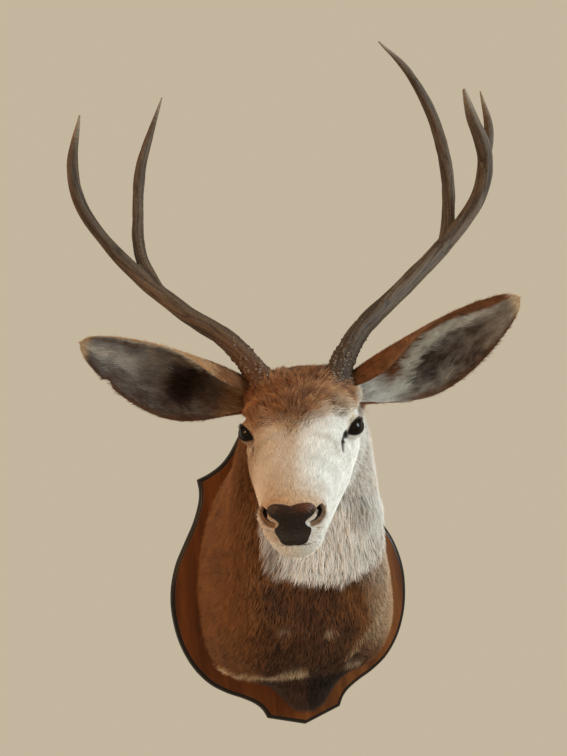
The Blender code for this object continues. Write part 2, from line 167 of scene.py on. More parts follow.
def head_turn(share):
    eyes = Matrix.Translation((0, -EYES_REACH, EYES_HEIGHT))
    face_line = Vector((0, -math.cos(FACE_PITCH), -math.sin(FACE_PITCH)))
    lean = eyes @ Matrix.Rotation(HEAD_ROLL * share, 4, face_line) @ eyes.inverted()
    pivot = Matrix.Translation((0, -NECK_PIVOT, 0))
    return pivot @ Matrix.Rotation(HEAD_YAW * share, 4, "Z") @ pivot.inverted() @ lean


def head_to_row():
    c, s = math.cos(FACE_PITCH), math.sin(FACE_PITCH)
    pitched = Matrix(((1, 0, 0, 0), (0, -c, -s, -EYES_REACH), (0, -s, c, EYES_HEIGHT), (0, 0, 0, 1)))
    return head_turn(1.0) @ pitched


HEAD_PLACE = np.array(head_to_row())
ROW_PLACE = np.array(head_to_row().inverted())

HEAD_STATIONS = (
    ((0.2030, -0.0120), (0.1990, -0.0340), 0.0110, 0.55, 2.0, 2.0),
    ((0.1990, 0.0000), (0.1900, -0.0530), 0.0235, 0.56, 2.3, 2.0),
    ((0.1910, 0.0075), (0.1790, -0.0670), 0.0305, 0.58, 2.4, 2.0),
    ((0.1790, 0.0120), (0.1640, -0.0730), 0.0330, 0.56, 2.4, 2.0),
    ((0.1600, 0.0165), (0.1440, -0.0740), 0.0365, 0.52, 2.4, 2.1),
    ((0.1350, 0.0210), (0.1190, -0.0740), 0.0430, 0.48, 2.4, 2.2),
    ((0.1050, 0.0255), (0.0880, -0.0760), 0.0510, 0.48, 2.4, 2.2),
    ((0.0750, 0.0305), (0.0560, -0.0810), 0.0580, 0.49, 2.5, 2.2),
    ((0.0450, 0.0365), (0.0240, -0.0890), 0.0640, 0.53, 2.6, 2.2),
    ((0.0150, 0.0430), (-0.0080, -0.0990), 0.0690, 0.57, 2.8, 2.1),
    ((-0.0150, 0.0500), (-0.0400, -0.1090), 0.0725, 0.60, 2.8, 2.0),
    ((-0.0450, 0.0565), (-0.0700, -0.1180), 0.0755, 0.58, 2.5, 2.0),
    ((-0.0780, 0.0600), (-0.0930, -0.1260), 0.0770, 0.55, 2.4, 2.0),
)
BODY_STATIONS = (
    ((0.3960, 0.2860), (0.3250, 0.1060), 0.0840, 0.52, 2.2, 2.0),
    ((0.3620, 0.2945), (0.3120, 0.0780), 0.0930, 0.50, 2.1, 2.0),
    ((0.3220, 0.2960), (0.3000, 0.0450), 0.1030, 0.48, 2.0, 2.0),
    ((0.2760, 0.2885), (0.2890, 0.0040), 0.1140, 0.45, 2.0, 2.0),
    ((0.2260, 0.2760), (0.2760, -0.0400), 0.1230, 0.41, 2.0, 2.1),
    ((0.1800, 0.2640), (0.2580, -0.0860), 0.1310, 0.38, 2.0, 2.3),
    ((0.1360, 0.2540), (0.2280, -0.1280), 0.1420, 0.36, 2.0, 2.5),
    ((0.0970, 0.2460), (0.1820, -0.1640), 0.1550, 0.35, 2.0, 2.8),
    ((0.0620, 0.2390), (0.1200, -0.1880), 0.1680, 0.34, 2.0, 3.0),
    ((0.0350, 0.2330), (0.0620, -0.2000), 0.1770, 0.34, 2.0, 3.2),
    ((BOARD_FACE + 0.0003, 0.2290), (BOARD_FACE + 0.0003, -0.2050), 0.1800, 0.34, 2.0, 3.2),
)
HEAD_COUNT = len(HEAD_STATIONS)
LAST_STATION = HEAD_COUNT + len(BODY_STATIONS) - 1
TURN_ENDS = (HEAD_COUNT + 3.5, HEAD_COUNT - 1.5)
STATION_ROWS = [(*straight_point(*top), *straight_point(*under), *rest)
                for top, under, *rest in HEAD_STATIONS]
STATION_ROWS += [(*top, *under, *rest) for top, under, *rest in BODY_STATIONS]

KEEL_DEPTH = 0.056
KEEL_HALF_WIDTH = 0.052
KEEL_REACH = (0.155, 0.060)

# Swellings and hollows of the head: lateral, forward, up, spread, height.
HEAD_FORMS = (
    (0.072, -0.006, 0.021, 0.015, 0.0055),      # brow over the eye
    (0.067, -0.006, -0.024, 0.016, 0.0035),     # rim below the eye
    (0.064, 0.022, -0.006, 0.011, -0.0090),     # pit in front of the eye
    (0.056, -0.045, -0.066, 0.034, 0.0050),     # jaw muscle
    (0.028, 0.186, -0.012, 0.012, 0.0030),      # wing of the nostril
    (0.052, -0.080, 0.052, 0.018, 0.0100),      # pedicle under the antler
    (0.072, -0.095, 0.022, 0.026, 0.0080),      # root of the ear
    (0.000, -0.050, 0.060, 0.022, -0.0020),     # dip between the antlers
)

# Depth of the coat over the skin at some stations: nose, muzzle, eyes, nape, chest, plaque.
COAT_STATIONS = (0, 1.5, 3, 5, 8, 10, HEAD_COUNT - 1, HEAD_COUNT + 2, HEAD_COUNT + 6, LAST_STATION)
COAT_DEPTHS = (0.0003, 0.0006, 0.0012, 0.0018, 0.0022, 0.0028, 0.0045, 0.0065, 0.0070, 0.0060)
THROAT_EXTRA = 0.0070
CROWN_EXTRA = 0.0040


def mirror_of(local):
    """What takes points of the head's frame to its left half, or back again, by multiplying."""
    return np.where(local[..., :1] < 0, [-1.0, 1, 1], [1.0, 1, 1])


def folded(local):
    return local * mirror_of(local)


def head_forms(local, forms):
    """How far swellings and hollows, alike on both sides, push out points of the head."""
    lift = np.zeros(local.shape[:-1])
    for *middle, spread, height in forms:
        off = (folded(local) - middle) / spread
        lift += height * np.exp(-(off * off).sum(-1))
    return lift


def coat_surface(stations, angles):
    """The outside of the coat: a grid of points, one ring of angles for each station."""
    rows = spline(STATION_ROWS, stations)
    top, under = rows[:, None, 0:2], rows[:, None, 2:4]
    half_width, level, square_top, square_under = (rows[:, k, None] for k in range(4, 8))
    centre = under + level[..., None] * (top - under)
    side, rise = np.sin(angles)[None], np.cos(angles)[None]
    power = np.where(rise > 0, square_top, square_under)
    stretch = (np.abs(side) ** power + np.abs(rise) ** power) ** (-1 / power)
    edge = np.where((rise > 0)[..., None], top, under)
    spine = centre + (stretch * np.abs(rise))[..., None] * (edge - centre)
    lateral = half_width * stretch * side
    fade = smooth((KEEL_REACH[0] - spine[..., 0]) / (KEEL_REACH[0] - KEEL_REACH[1]))
    keel = KEEL_DEPTH * fade * np.exp(-(np.abs(lateral) / KEEL_HALF_WIDTH) ** 3) * np.minimum(rise, 0) ** 2
    points = np.stack((lateral, -spine[..., 0], spine[..., 1] - keel), -1)
    middles = np.concatenate((np.zeros_like(centre[..., :1]), -centre[..., :1], centre[..., 1:]), -1)
    for r, station in enumerate(stations):
        turn = np.array(head_turn(float(smooth((TURN_ENDS[0] - station) / (TURN_ENDS[0] - TURN_ENDS[1])))))
        points[r] = move(points[r], turn)
        middles[r] = move(middles[r], turn)
    on_head = (np.asarray(stations) < HEAD_COUNT + 1)[:, None]
    lift = np.where(on_head, head_forms(move(points, ROW_PLACE), HEAD_FORMS), 0)
    return points + unit(points - middles) * lift[..., None], middles


def grid_normals(points, middles):
    along = np.gradient(points, axis=0)
    around = np.roll(points, -1, 1) - np.roll(points, 1, 1)
    normals = unit(np.cross(along, around))
    return normals * np.sign(((points - middles) * normals).sum(-1, keepdims=True))


def coat_depth(stations, angles):
    depth = np.interp(stations, COAT_STATIONS, COAT_DEPTHS)[:, None]
    rise = np.cos(angles)[None]
    throat = smooth((stations - HEAD_COUNT + 2) / 3) * smooth((HEAD_COUNT + 6 - stations) / 3)
    crown = smooth((stations - 7) / 3) * smooth((HEAD_COUNT + 1 - stations) / 2)
    return (depth + THROAT_EXTRA * throat[:, None] * np.maximum(-rise, 0) ** 2
            + CROWN_EXTRA * crown[:, None] * np.maximum(rise, 0) ** 2)


HEAD_RINGS = 100
BODY_RINGS = 58
SKIN_SEGMENTS = 144

skin_stations = np.concatenate((np.linspace(0, HEAD_COUNT, HEAD_RINGS, endpoint=False),
                                np.linspace(HEAD_COUNT, LAST_STATION, BODY_RINGS)))
skin_angles = 2 * math.pi * (np.arange(SKIN_SEGMENTS) + 0.5) / SKIN_SEGMENTS
coat_points, coat_middles = coat_surface(skin_stations, skin_angles)
coat_normals = grid_normals(coat_points, coat_middles)
skin_points = coat_points - coat_normals * coat_depth(skin_stations, skin_angles)[..., None]
skin_points[..., 1] = np.minimum(skin_points[..., 1], -BOARD_FACE - 0.0003)


def grid_faces(rings, count, first=0):
    """Quads between closed rings of points that follow one another."""
    r, i = np.meshgrid(np.arange(rings - 1), np.arange(count), indexing="ij")
    j = (i + 1) % count
    quads = np.stack((r * count + i, r * count + j, (r + 1) * count + j, (r + 1) * count + i), -1)
    return quads.reshape(-1, 4) + first


def object_of(name, mesh):
    made = bpy.data.objects.new(name, mesh)
    bpy.context.scene.collection.objects.link(made)
    return made


def shell_object(name, rings):
    """A closed, outward mesh through equal rings of points, with a point closing each end."""
    rings = np.asarray(rings)
    count = rings.shape[1]
    verts = np.concatenate((rings.reshape(-1, 3), [rings[0].mean(0)], [rings[-1].mean(0)]))
    faces = [tuple(q) for q in grid_faces(len(rings), count).tolist()]
    for ring, tip in ((0, len(verts) - 2), (len(rings) - 1, len(verts) - 1)):
        faces += [(ring * count + i, ring * count + (i + 1) % count, tip) for i in range(count)]
    mesh = bpy.data.meshes.new(name)
    mesh.from_pydata(verts.tolist(), [], faces)
    made = object_of(name, mesh)
    shape = bmesh.new()
    shape.from_mesh(mesh)
    bmesh.ops.recalc_face_normals(shape, faces=shape.faces)
    if shape.calc_volume(signed=True) < 0:
        bmesh.ops.reverse_faces(shape, faces=shape.faces)
    shape.to_mesh(mesh)
    shape.free()
    mesh.shade_smooth()
    return made


def only(*objects):
    """Selects these objects and no others, the first of them active."""
    bpy.ops.object.select_all(action="DESELECT")
    for item in objects:
        item.select_set(True)
    bpy.context.view_layer.objects.active = objects[0]


nose_tip = skin_points[0].mean(0)
nose_front = [nose_tip + (skin_points[0] - nose_tip) * share + unit(HEAD_PLACE[:3, 1]) * bulge
              for share, bulge in ((0.25, 0.0022), (0.5, 0.0018), (0.75, 0.0010))]
skin = shell_object("skin", np.concatenate((nose_front, skin_points)))


# Ears: a cupped leaf of cartilage. Share of the length, half width, depth of the cup's curve,
# how far round the upper and lower edges lie in degrees, and how far it sits off the axis.
EAR_SECTIONS = (
    (0.00, 0.0240, 0.0240, 155, 150, 0.0000),
    (0.12, 0.0330, 0.0310, 155, 125, -0.0040),
    (0.25, 0.0430, 0.0360, 142, 100, -0.0100),
    (0.38, 0.0495, 0.0360, 118, 86, -0.0155),
    (0.50, 0.0515, 0.0330, 98, 78, -0.0165),
    (0.62, 0.0495, 0.0290, 84, 72, -0.0150),
    (0.74, 0.0435, 0.0240, 76, 68, -0.0115),
    (0.85, 0.0340, 0.0180, 70, 66, -0.0070),
    (0.93, 0.0245, 0.0130, 67, 65, -0.0035),
    (0.98, 0.0145, 0.0090, 65, 65, -0.0010),
    (1.00, 0.0060, 0.0070, 65, 65, 0.0000),
)
EARS = {
    "ear_right": ((-0.079, -0.366, 0.256), (-0.309, -0.400, 0.339), (-0.10, -0.93, -0.35)),
    "ear_left": ((0.055, -0.404, 0.250), (0.275, -0.505, 0.334), (0.12, -0.90, -0.36)),
}
EAR_SEAT = 0.55
EAR_THICK = (0.0085, 0.0045)
EAR_COAT = (0.0028, 0.0013)         # depth of its hair on each face, at the root and the tip
EAR_RINGS = 60
EAR_POINTS = 30                     # across each face
EAR_NICK = ("ear_right", 0.80, 0.022, 14)   # which ear, where along it, how long, degrees deep
# The curled rim along each upper edge: share of the length, how far in the brown back shows
# and how far in the pale hair goes, as shares of the inside's width, and the ridge's height.
EAR_FOLDS = {
    "ear_right": ((0.00, 0.00, 0.50, 0.0000), (0.32, 0.00, 0.42, 0.0000), (0.40, 0.00, 0.24, 0.0010),
                  (0.50, 0.02, 0.12, 0.0018), (0.68, 0.05, 0.12, 0.0018), (0.80, 0.08, 0.09, 0.0010),
                  (1.00, 0.08, 0.08, 0.0000)),
    "ear_left": ((0.00, 0.85, 0.98, 0.0000), (0.25, 0.64, 0.82, 0.0005), (0.32, 0.50, 0.68, 0.0020),
                 (0.39, 0.41, 0.57, 0.0034), (0.47, 0.28, 0.50, 0.0036), (0.59, 0.22, 0.43, 0.0034),
                 (0.71, 0.24, 0.43, 0.0026), (0.83, 0.30, 0.44, 0.0014), (1.00, 0.30, 0.36, 0.0000)),
}


def ear_fold(name, share):
    """Where the brown rim ends, where the pale hair ends and how high the ridge stands."""
    table = np.array(EAR_FOLDS[name]).T
    return (np.interp(share, table[0], row) for row in table[1:])


def ear_frame(name):
    root, tip, opening = (np.array(v) for v in EARS[name])
    along = unit(tip - root)
    opening = unit(opening - along * np.dot(opening, along))
    across = np.cross(along, opening)
    return root, tip, opening, across if across[2] > 0 else -across


def ear_grid(name):
    """Rings round the ear's cartilage: the back from the lower edge up, then the inside down."""
    root, tip, opening, across = ear_frame(name)
    at = np.linspace(0, len(EAR_SECTIONS) - 1, EAR_RINGS)
    share, half_width, depth, upper, lower, drop = spline(EAR_SECTIONS, at).T
    if name == EAR_NICK[0]:
        lower = lower - EAR_NICK[3] * np.exp(-np.abs((share - EAR_NICK[1]) / EAR_NICK[2]) ** 3)
    thick = EAR_THICK[0] + (EAR_THICK[1] - EAR_THICK[0]) * share
    coat = EAR_COAT[0] + (EAR_COAT[1] - EAR_COAT[0]) * share
    across_share = np.linspace(0, 1, EAR_POINTS)
    edge_in = np.degrees(coat / half_width)
    opened = np.radians(upper + lower - 2 * edge_in)[:, None]
    angle = np.radians(-lower + edge_in)[:, None] + opened * across_share
    centre = root + (tip - root) * share[:, None] + across * drop[:, None]
    centre = centre + opening * (depth * EAR_SEAT)[:, None]

    def face(inset):
        return (centre[:, None] + across * ((half_width[:, None] - inset) * np.sin(angle))[..., None]
                - opening * ((depth[:, None] - inset) * np.cos(angle))[..., None])

    brown, pale, ridge = ear_fold(name, share)
    curl = ridge[:, None] * np.exp(-((1 - across_share - (0.6 * brown + 0.4 * pale)[:, None]) / 0.085) ** 2)
    back, inside = face(coat[:, None]), face((thick - coat)[:, None] + curl)
    rim = 1 - (2 * across_share - 1) ** 8
    middle = (back + inside) / 2
    back = middle + (back - middle) * rim[:, None].clip(0.35)
    inside = middle + (inside - middle) * rim[:, None].clip(0.35)
    return share, np.concatenate((back, inside[:, ::-1]), 1)


ears = {name: ear_grid(name) for name in EARS}
for name, (share, rings) in ears.items():
    ear = shell_object(f"{name}_shell", rings)
    join = skin.modifiers.new(name, "BOOLEAN")
    join.operation = "UNION"
    join.solver = "MANIFOLD"
    join.object = ear
    only(skin)
    bpy.ops.object.modifier_apply(modifier=join.name)
    bpy.data.objects.remove(ear)

# The carved form under the hide: lids round each eye, the slit of the tear gland in front of
# it, the nose pad with its comma-shaped nostrils, and the lips.
EYE_RADIUS = 0.0165
EYE_PLACE = np.array((0.0625, -0.006, 0.000))
EYE_AZIMUTH, EYE_ELEVATION, EYE_SLOPE = (math.radians(a) for a in (42, 14, 16))
LID_HALF_LENGTH = 0.0134
LID_UPPER, LID_LOWER = 0.0084, 0.0072
LID_THICK = 0.0019

SKIN_FORMS = (
    (0.058, 0.034, -0.003, 0.0160, -0.0070),    # hollow of the tear gland
    (0.058, 0.050, -0.010, 0.0110, 0.0030),     # swelling below it
    (0.074, -0.004, 0.016, 0.0130, 0.0020),     # upper rim of the orbit
    (0.034, 0.090, 0.016, 0.0200, -0.0020),     # flank of the nasal bone
    (0.058, 0.055, -0.030, 0.0200, 0.0020),     # facial crest
)
TEAR_SLIT = ((0.0595, 0.0150, -0.0030), (0.0562, 0.0310, 0.0010), (0.0536, 0.0480, 0.0050),
             (0.0518, 0.0600, 0.0045), (0.0518, 0.0690, -0.0005))

# Half of the nose pad's outline and the line of the nostril, from the front: lateral, up.
PAD_OUTLINE = ((0.0000, 0.0010), (0.0080, 0.0026), (0.0160, 0.0022), (0.0215, -0.0008), (0.0232, -0.0050),
               (0.0205, -0.0095), (0.0150, -0.0128), (0.0128, -0.0155), (0.0146, -0.0190), (0.0174, -0.0225),
               (0.0172, -0.0270), (0.0150, -0.0325), (0.0126, -0.0380), (0.0066, -0.0408), (0.0000, -0.0416))
NOSTRIL = ((0.0254, -0.0078), (0.0268, -0.0106), (0.0254, -0.0138), (0.0218, -0.0162), (0.0168, -0.0170))
NOSTRIL_WALL = ((0.0272, -0.0066), (0.0296, -0.0102), (0.0286, -0.0146), (0.0240, -0.0182), (0.0188, -0.0196))
NOSTRIL_DEPTH = 0.0085
WALL_DEPTH = 0.0036                 # the dish round the nostril, inside its wing
SLIT_DEPTH, SLIT_SPREAD = 0.0060, 0.0022
CLEFT_DEPTH, CLEFT_SPREAD = 0.0032, 0.0011
PAD_HEIGHT = 0.0011
PAD_GROOVE = 0.0007                 # down the middle of its lower part
LOBE, LOBE_HEIGHT, LOBE_SPREAD = (0.0130, -0.0040), 0.0017, 0.0085
WING_HEIGHT, WING_SPREAD = 0.0024, 0.0026
UPPER_LIP, LOWER_LIP = 0.0012, 0.0016       # how full the upper is and how far the lower stands back
# The mouth in the head's frame, from the middle of the lips back to the corner.
MOUTH = ((0.0000, 0.1956, -0.0425), (0.0075, 0.1950, -0.0428), (0.0158, 0.1918, -0.0430),
         (0.0225, 0.1885, -0.0412), (0.0268, 0.1850, -0.0398), (0.0300, 0.1770, -0.0402),
         (0.0320, 0.1650, -0.0440), (0.0335, 0.1500, -0.0490), (0.0345, 0.1360, -0.0530))

# The crease that runs down from the brow beside the bridge of the nose; the face is painted grey along it as
# its shade.
FOLD = ((0.022, 0.078, 0.024), (0.034, 0.075, 0.019), (0.043, 0.078, 0.010), (0.047, 0.086, 0.001))


def read_rows(items, field):
    found = np.empty(len(items) * 3, np.float32)
    items.foreach_get(field, found)
    return found.reshape(-1, 3).astype(float)


def vertex_points(mesh):
    return read_rows(mesh.vertices, "co")


def vertex_ways(mesh):
    return read_rows(mesh.vertex_normals, "vector")


def set_points(mesh, points):
    mesh.vertices.foreach_set("co", points.astype(np.float32).ravel())


def line_distance(points, line):
    """Distance of points to a broken line and how far along the line the nearest place is."""
    line = np.asarray(line, float)
    best, share = np.full(len(points), 1e9), np.zeros(len(points))
    for k in range(len(line) - 1):
        step = line[k + 1] - line[k]
        t = np.clip(((points - line[k]) @ step) / max(step @ step, 1e-18), 0, 1)
        off = np.linalg.norm(points - line[k] - t[:, None] * step, axis=1)
        closer = off < best
        best[closer], share[closer] = off[closer], (k + t[closer]) / (len(line) - 1)
    return best, share


def inside_outline(points, outline):
    """Whether flat points lie within a closed outline."""
    within = np.zeros(len(points), bool)
    for one, two in zip(outline, np.roll(outline, -1, 0)):
        crosses = (one[1] > points[:, 1]) != (two[1] > points[:, 1])
        rise = two[1] - one[1] if abs(two[1] - one[1]) > 1e-12 else 1e-12
        within ^= crosses & (points[:, 0] < (two[0] - one[0]) * (points[:, 1] - one[1]) / rise + one[0])
    return within


def refine(obj, wanted):
    """Cuts each face that wanted picks by its middle, in the head's frame, into four."""
    shape = bmesh.new()
    shape.from_mesh(obj.data)
    shape.faces.ensure_lookup_table()
    middles = np.array([f.calc_center_median() for f in shape.faces])
    picked = np.nonzero(wanted(move(middles, ROW_PLACE)))[0]
    edges = {e for k in picked for e in shape.faces[k].edges}
    bmesh.ops.subdivide_edges(shape, edges=list(edges), cuts=1, use_grid_fill=True)
    shape.to_mesh(obj.data)
    shape.free()


def near_eye(local, reach):
    return np.linalg.norm(folded(local) - EYE_PLACE - (0, 0.004, -0.002), axis=1) < reach


def to_carve(p):
    """The eyes, the muzzle and the hollow of the tear gland."""
    return near_eye(p, 0.036) | (p[:, 1] > 0.150) | (apart(folded(p), (0.055, 0.035, -0.010)) < 0.026)


def to_carve_finely(p):
    """The lids, the nose and lips, and the tear slit."""
    nose = (p[:, 1] > 0.176) & (p[:, 2] > -0.055)
    return near_eye(p, 0.027) | nose | (line_distance(folded(p), TEAR_SLIT)[0] < 0.008)


refine(skin, to_carve)
refine(skin, to_carve_finely)


def eye_ways():
    """The way that the eye looks, and the ways along its lids and across them."""
    (c, s), (high_c, high_s), (slope_c, slope_s) = (
        (math.cos(a), math.sin(a)) for a in (EYE_AZIMUTH, EYE_ELEVATION, EYE_SLOPE))
    level = np.array((c, -s, 0))
    rise = np.array((-high_s * s, -high_s * c, high_c))
    aim = np.array((s * high_c, c * high_c, high_s))
    return aim, slope_c * level + slope_s * rise, slope_c * rise - slope_s * level


eye_aim, lid_along, lid_over = eye_ways()
lid_x = np.concatenate((np.linspace(-1, 1, 49), np.linspace(1, -1, 49)[1:-1]))
lid_y = (1 - np.abs(lid_x) ** 2.2) ** 0.75 * np.where(np.arange(len(lid_x)) < 49, LID_UPPER, -LID_LOWER)
LID_LINE = np.stack((lid_x * LID_HALF_LENGTH, lid_y), 1)
PAD_HALF = spline(PAD_OUTLINE, np.linspace(0, len(PAD_OUTLINE) - 1, 4 * len(PAD_OUTLINE) - 3))
PAD_LINE = np.concatenate((PAD_HALF, PAD_HALF[-2:0:-1] * (-1, 1)))


def lid_distance(local):
    """Distance outside the eye's opening, less than nothing inside it, seen along its aim."""
    off = folded(local) - EYE_PLACE
    flat = np.stack((off @ lid_along, off @ lid_over), 1)
    gap, _ = line_distance(flat, np.vstack((LID_LINE, LID_LINE[:1])))
    return np.where(inside_outline(flat, LID_LINE), -gap, gap), flat, off @ eye_aim


def pad_distance(local):
    flat = local[:, [0, 2]]
    gap, _ = line_distance(flat, np.vstack((PAD_LINE, PAD_LINE[:1])))
    return np.where(inside_outline(flat, PAD_LINE), -gap, gap)


def tree_of(points):
    tree = kdtree.KDTree(len(points))
    for k, point in enumerate(points.tolist()):
        tree.insert(point, k)
    tree.balance()
    return tree


def nearest(tree, points):
    return np.array([tree.find(point)[1] for point in points.tolist()])


def carve(points, normals):
    """Moves points of the skin to the carved form; takes and gives the row frame."""
    local = move(points, ROW_PLACE)
    ways = normals @ ROW_PLACE[:3, :3].T
    sides = mirror_of(local)
    local, ways = local * sides, ways * sides
    on_head = local[:, 1] > -0.11
    local += ways * np.where(on_head, head_forms(local, SKIN_FORMS), 0)[:, None]

    gap, share = line_distance(local, TEAR_SLIT)
    local -= ways * (SLIT_DEPTH * np.exp(-(gap / SLIT_SPREAD) ** 2) * (1 - 0.45 * share))[:, None]

    near = near_eye(local, 0.045)
    gap, flat, height = lid_distance(local[near])
    swell = np.interp(gap, (-0.0010, -0.0002, 0.0003, 0.0010, 0.0022, 0.0060),
                      (-0.0016, -0.0010, 0.0003, 0.0014, LID_THICK, LID_THICK + 0.0006))
    lid_height = np.sqrt(np.maximum((EYE_RADIUS + swell) ** 2 - (flat ** 2).sum(1), 0.0035 ** 2))
    share = smooth(1 - (gap - 0.0012) / 0.0100) * (height > -0.020)
    local[near] += ((lid_height - height) * share)[:, None] * eye_aim

    front = local[:, 1] > 0.165
    nose = local[front]
    gap = pad_distance(nose)
    ahead = smooth((nose[:, 1] - 0.170) / 0.015)
    raised = PAD_HEIGHT * smooth((0.0004 - gap) / 0.0016) * ahead
    flat = nose[:, [0, 2]]
    lobe = np.exp(-(apart(flat, LOBE) / LOBE_SPREAD) ** 2)
    raised += LOBE_HEIGHT * lobe * smooth((0.0002 - gap) / 0.0030) * ahead
    groove = PAD_GROOVE * np.exp(-(nose[:, 0] / 0.0024) ** 2) * (gap < 0)
    groove *= smooth((-0.012 - nose[:, 2]) / 0.01)
    hole, share = line_distance(flat, NOSTRIL)
    wall, _ = line_distance(flat, NOSTRIL_WALL)
    clear = smooth((gap + 0.0002) / 0.0006) * ahead
    sunk = NOSTRIL_DEPTH * smooth(1.25 - hole / (0.0032 - 0.0017 * share)) * clear
    sunk = np.maximum(sunk, WALL_DEPTH * smooth(1.2 - wall / 0.0030) * clear)
    wing = WING_HEIGHT * np.exp(-((wall - 0.0052) / WING_SPREAD) ** 2) * ahead
    wing *= smooth((gap - 0.004) / 0.004)
    nose += ways[front] * (raised - groove + wing)[:, None]
    nose += sunk[:, None] * np.array((-0.25, -0.95, 0.12))
    local[front] = nose

    jaw = local[:, 1] > 0.125
    mouth = local[jaw]
    gap, share = line_distance(mouth, MOUTH)
    back = np.maximum.accumulate(MOUTH[:, 0] - MOUTH[:, 1])
    line_up = np.interp(mouth[:, 0] - mouth[:, 1], back, MOUTH[:, 2])
    below = smooth((line_up - mouth[:, 2]) / 0.002)
    fade = smooth((1.02 - share) / 0.15)
    upper_lip = UPPER_LIP * np.exp(-((gap - 0.0035) / 0.0030) ** 2) * (1 - below)
    lower_lip = -LOWER_LIP * np.exp(-(gap / 0.0060) ** 2) * below
    cleft = -CLEFT_DEPTH * np.exp(-(gap / CLEFT_SPREAD) ** 2)
    mouth += ways[jaw] * ((upper_lip + lower_lip + cleft) * fade)[:, None]
    local[jaw] = mouth
    return move(local * sides, HEAD_PLACE)


# The lines are laid on the form before the carving, and taken along with it afterwards.
LINE_PLACES = 24
form = folded(move(vertex_points(skin.data), ROW_PLACE))
form_tree = tree_of(form)
drawn = [nearest(form_tree, spline(line, np.linspace(0, len(line) - 1, LINE_PLACES)))
         for line in (TEAR_SLIT, MOUTH, FOLD)]
TEAR_SLIT, MOUTH, FOLD = (form[places] for places in drawn)
carved = carve(vertex_points(skin.data), vertex_ways(skin.data))
form = folded(move(carved, ROW_PLACE))
TEAR_SLIT, MOUTH, FOLD = (form[places] for places in drawn)
set_points(skin.data, carved)
skin.data.update()


def noise(points, size, seed):
    """Smooth noise from -1 to 1 whose bumps are about this size."""
    cell = np.asarray(points) / size
    low = np.floor(cell)
    part = cell - low
    part = part * part * (3 - 2 * part)
    total = np.zeros(len(cell))
    for corner in np.ndindex(2, 2, 2):
        spot = low + corner
        wild = np.sin(spot @ (12.9898, 78.233, 37.719) + seed * 7.13) * 43758.5453
        total += (2 * (wild - np.floor(wild)) - 1) * np.where(corner, part, 1 - part).prod(-1)
    return total


# Where each point of the finished skin lies: on the hide or an ear, how far along and how
# far round, and the way that the hair runs there, from the nose back and from an ear's root out.
def chart_rows(points, u, v, part):
    """One row for each place of a grid: point, way of the hair, chart (u, v) and part."""
    ways = unit(np.gradient(points, axis=0))
    marks = [np.broadcast_to(value, points.shape[:2])[..., None] for value in (u, v, part)]
    return np.concatenate((points, ways, *marks), -1).reshape(-1, 9)


chart = [chart_rows(skin_points, skin_angles / (2 * math.pi), (skin_stations / LAST_STATION)[:, None], 0.0)]
for part, (share, rings) in enumerate(ears.values(), 1):
    around = (np.arange(rings.shape[1]) + 0.5) / rings.shape[1]
    chart.append(chart_rows(rings, around, share[:, None], float(part)))
chart = np.concatenate(chart)
skin_v = carved
skin_n = vertex_ways(skin.data)
skin_row = chart[nearest(tree_of(chart[:, :3]), skin_v)]
skin_way = unit(skin_row[:, 3:6] - skin_n * (skin_row[:, 3:6] * skin_n).sum(1, keepdims=True))
skin_tree = tree_of(skin_v)
skin.data.calc_loop_triangles()
skin_tris = np.empty(len(skin.data.loop_triangles) * 3, np.int32)
skin.data.loop_triangles.foreach_get("vertices", skin_tris)
skin_tris = skin_tris.reshape(-1, 3)
skin_local = move(skin_v, ROW_PLACE)

WHITE = np.array((0.84, 0.825, 0.79))
GREY = np.array((0.42, 0.37, 0.31))
TAN = np.array((0.52, 0.35, 0.21))
GOLD = np.array((0.52, 0.31, 0.13))
GINGER = np.array((0.27, 0.108, 0.034))
RUST = np.array((0.20, 0.068, 0.019))
UMBER = np.array((0.110, 0.046, 0.019))
CHOCOLATE = np.array((0.062, 0.025, 0.012))
NIGHT = np.array((0.014, 0.006, 0.004))
CREAM = np.array((0.64, 0.54, 0.40))
EAR_DARK = np.array((0.072, 0.045, 0.034))
EAR_SLATE = np.array((0.210, 0.207, 0.205))
EAR_PALE = np.array((0.66, 0.63, 0.56))

# Lowest level of the white bib across the chest, and the ridge where the coat turns pale.
BIB_ACROSS = (-0.079, -0.074, -0.070, -0.062, -0.047, -0.024, 0.006, 0.038, 0.063, 0.086, 0.102, 0.110)
BIB_LEVEL = (0.061, 0.041, 0.023, 0.005, -0.008, -0.017, -0.024, -0.026, -0.022, -0.010, 0.010, 0.024)
WHORLS = ((-0.051, -0.252, -0.082), (0.018, -0.251, -0.091))
ARMPIT = ((0.056, -0.186, -0.149), (0.074, -0.166, -0.152))
SEAM = ((0.050, -0.206, -0.140), (0.060, -0.224, -0.115), (0.078, -0.230, -0.094), (0.097, -0.230, -0.074),
        (0.112, -0.228, -0.045), (0.120, -0.236, -0.005))


def mix(one, two, share):
    share = np.clip(share, 0, 1)[..., None]
    return one * (1 - share) + two * share


def paint(colour, *layers):
    """A colour with others laid over it in turn, each with the share that it covers."""
    for tone, share in layers:
        colour = mix(colour, tone, share)
    return colour


def bib_side(z):
    """How far across the bib reaches on the left side of the neck."""
    return 0.104 + 0.040 * smooth((z - 0.035) / 0.050)


def rim_level(x):
    """How high the pale edge of the right foreleg's hide runs across the chest."""
    return np.interp(x, (-0.140, -0.110, -0.080, -0.040, 0.0), (-0.158, -0.160, -0.156, -0.152, -0.156))


def cap_border(local, wander):
    """How far forward the brown cap reaches: most in the middle, more on the deer's right."""
    return 0.089 - 1.42 * np.abs(local[:, 0]) + 0.007 * smooth(-local[:, 0] / 0.02) + 0.009 * wander


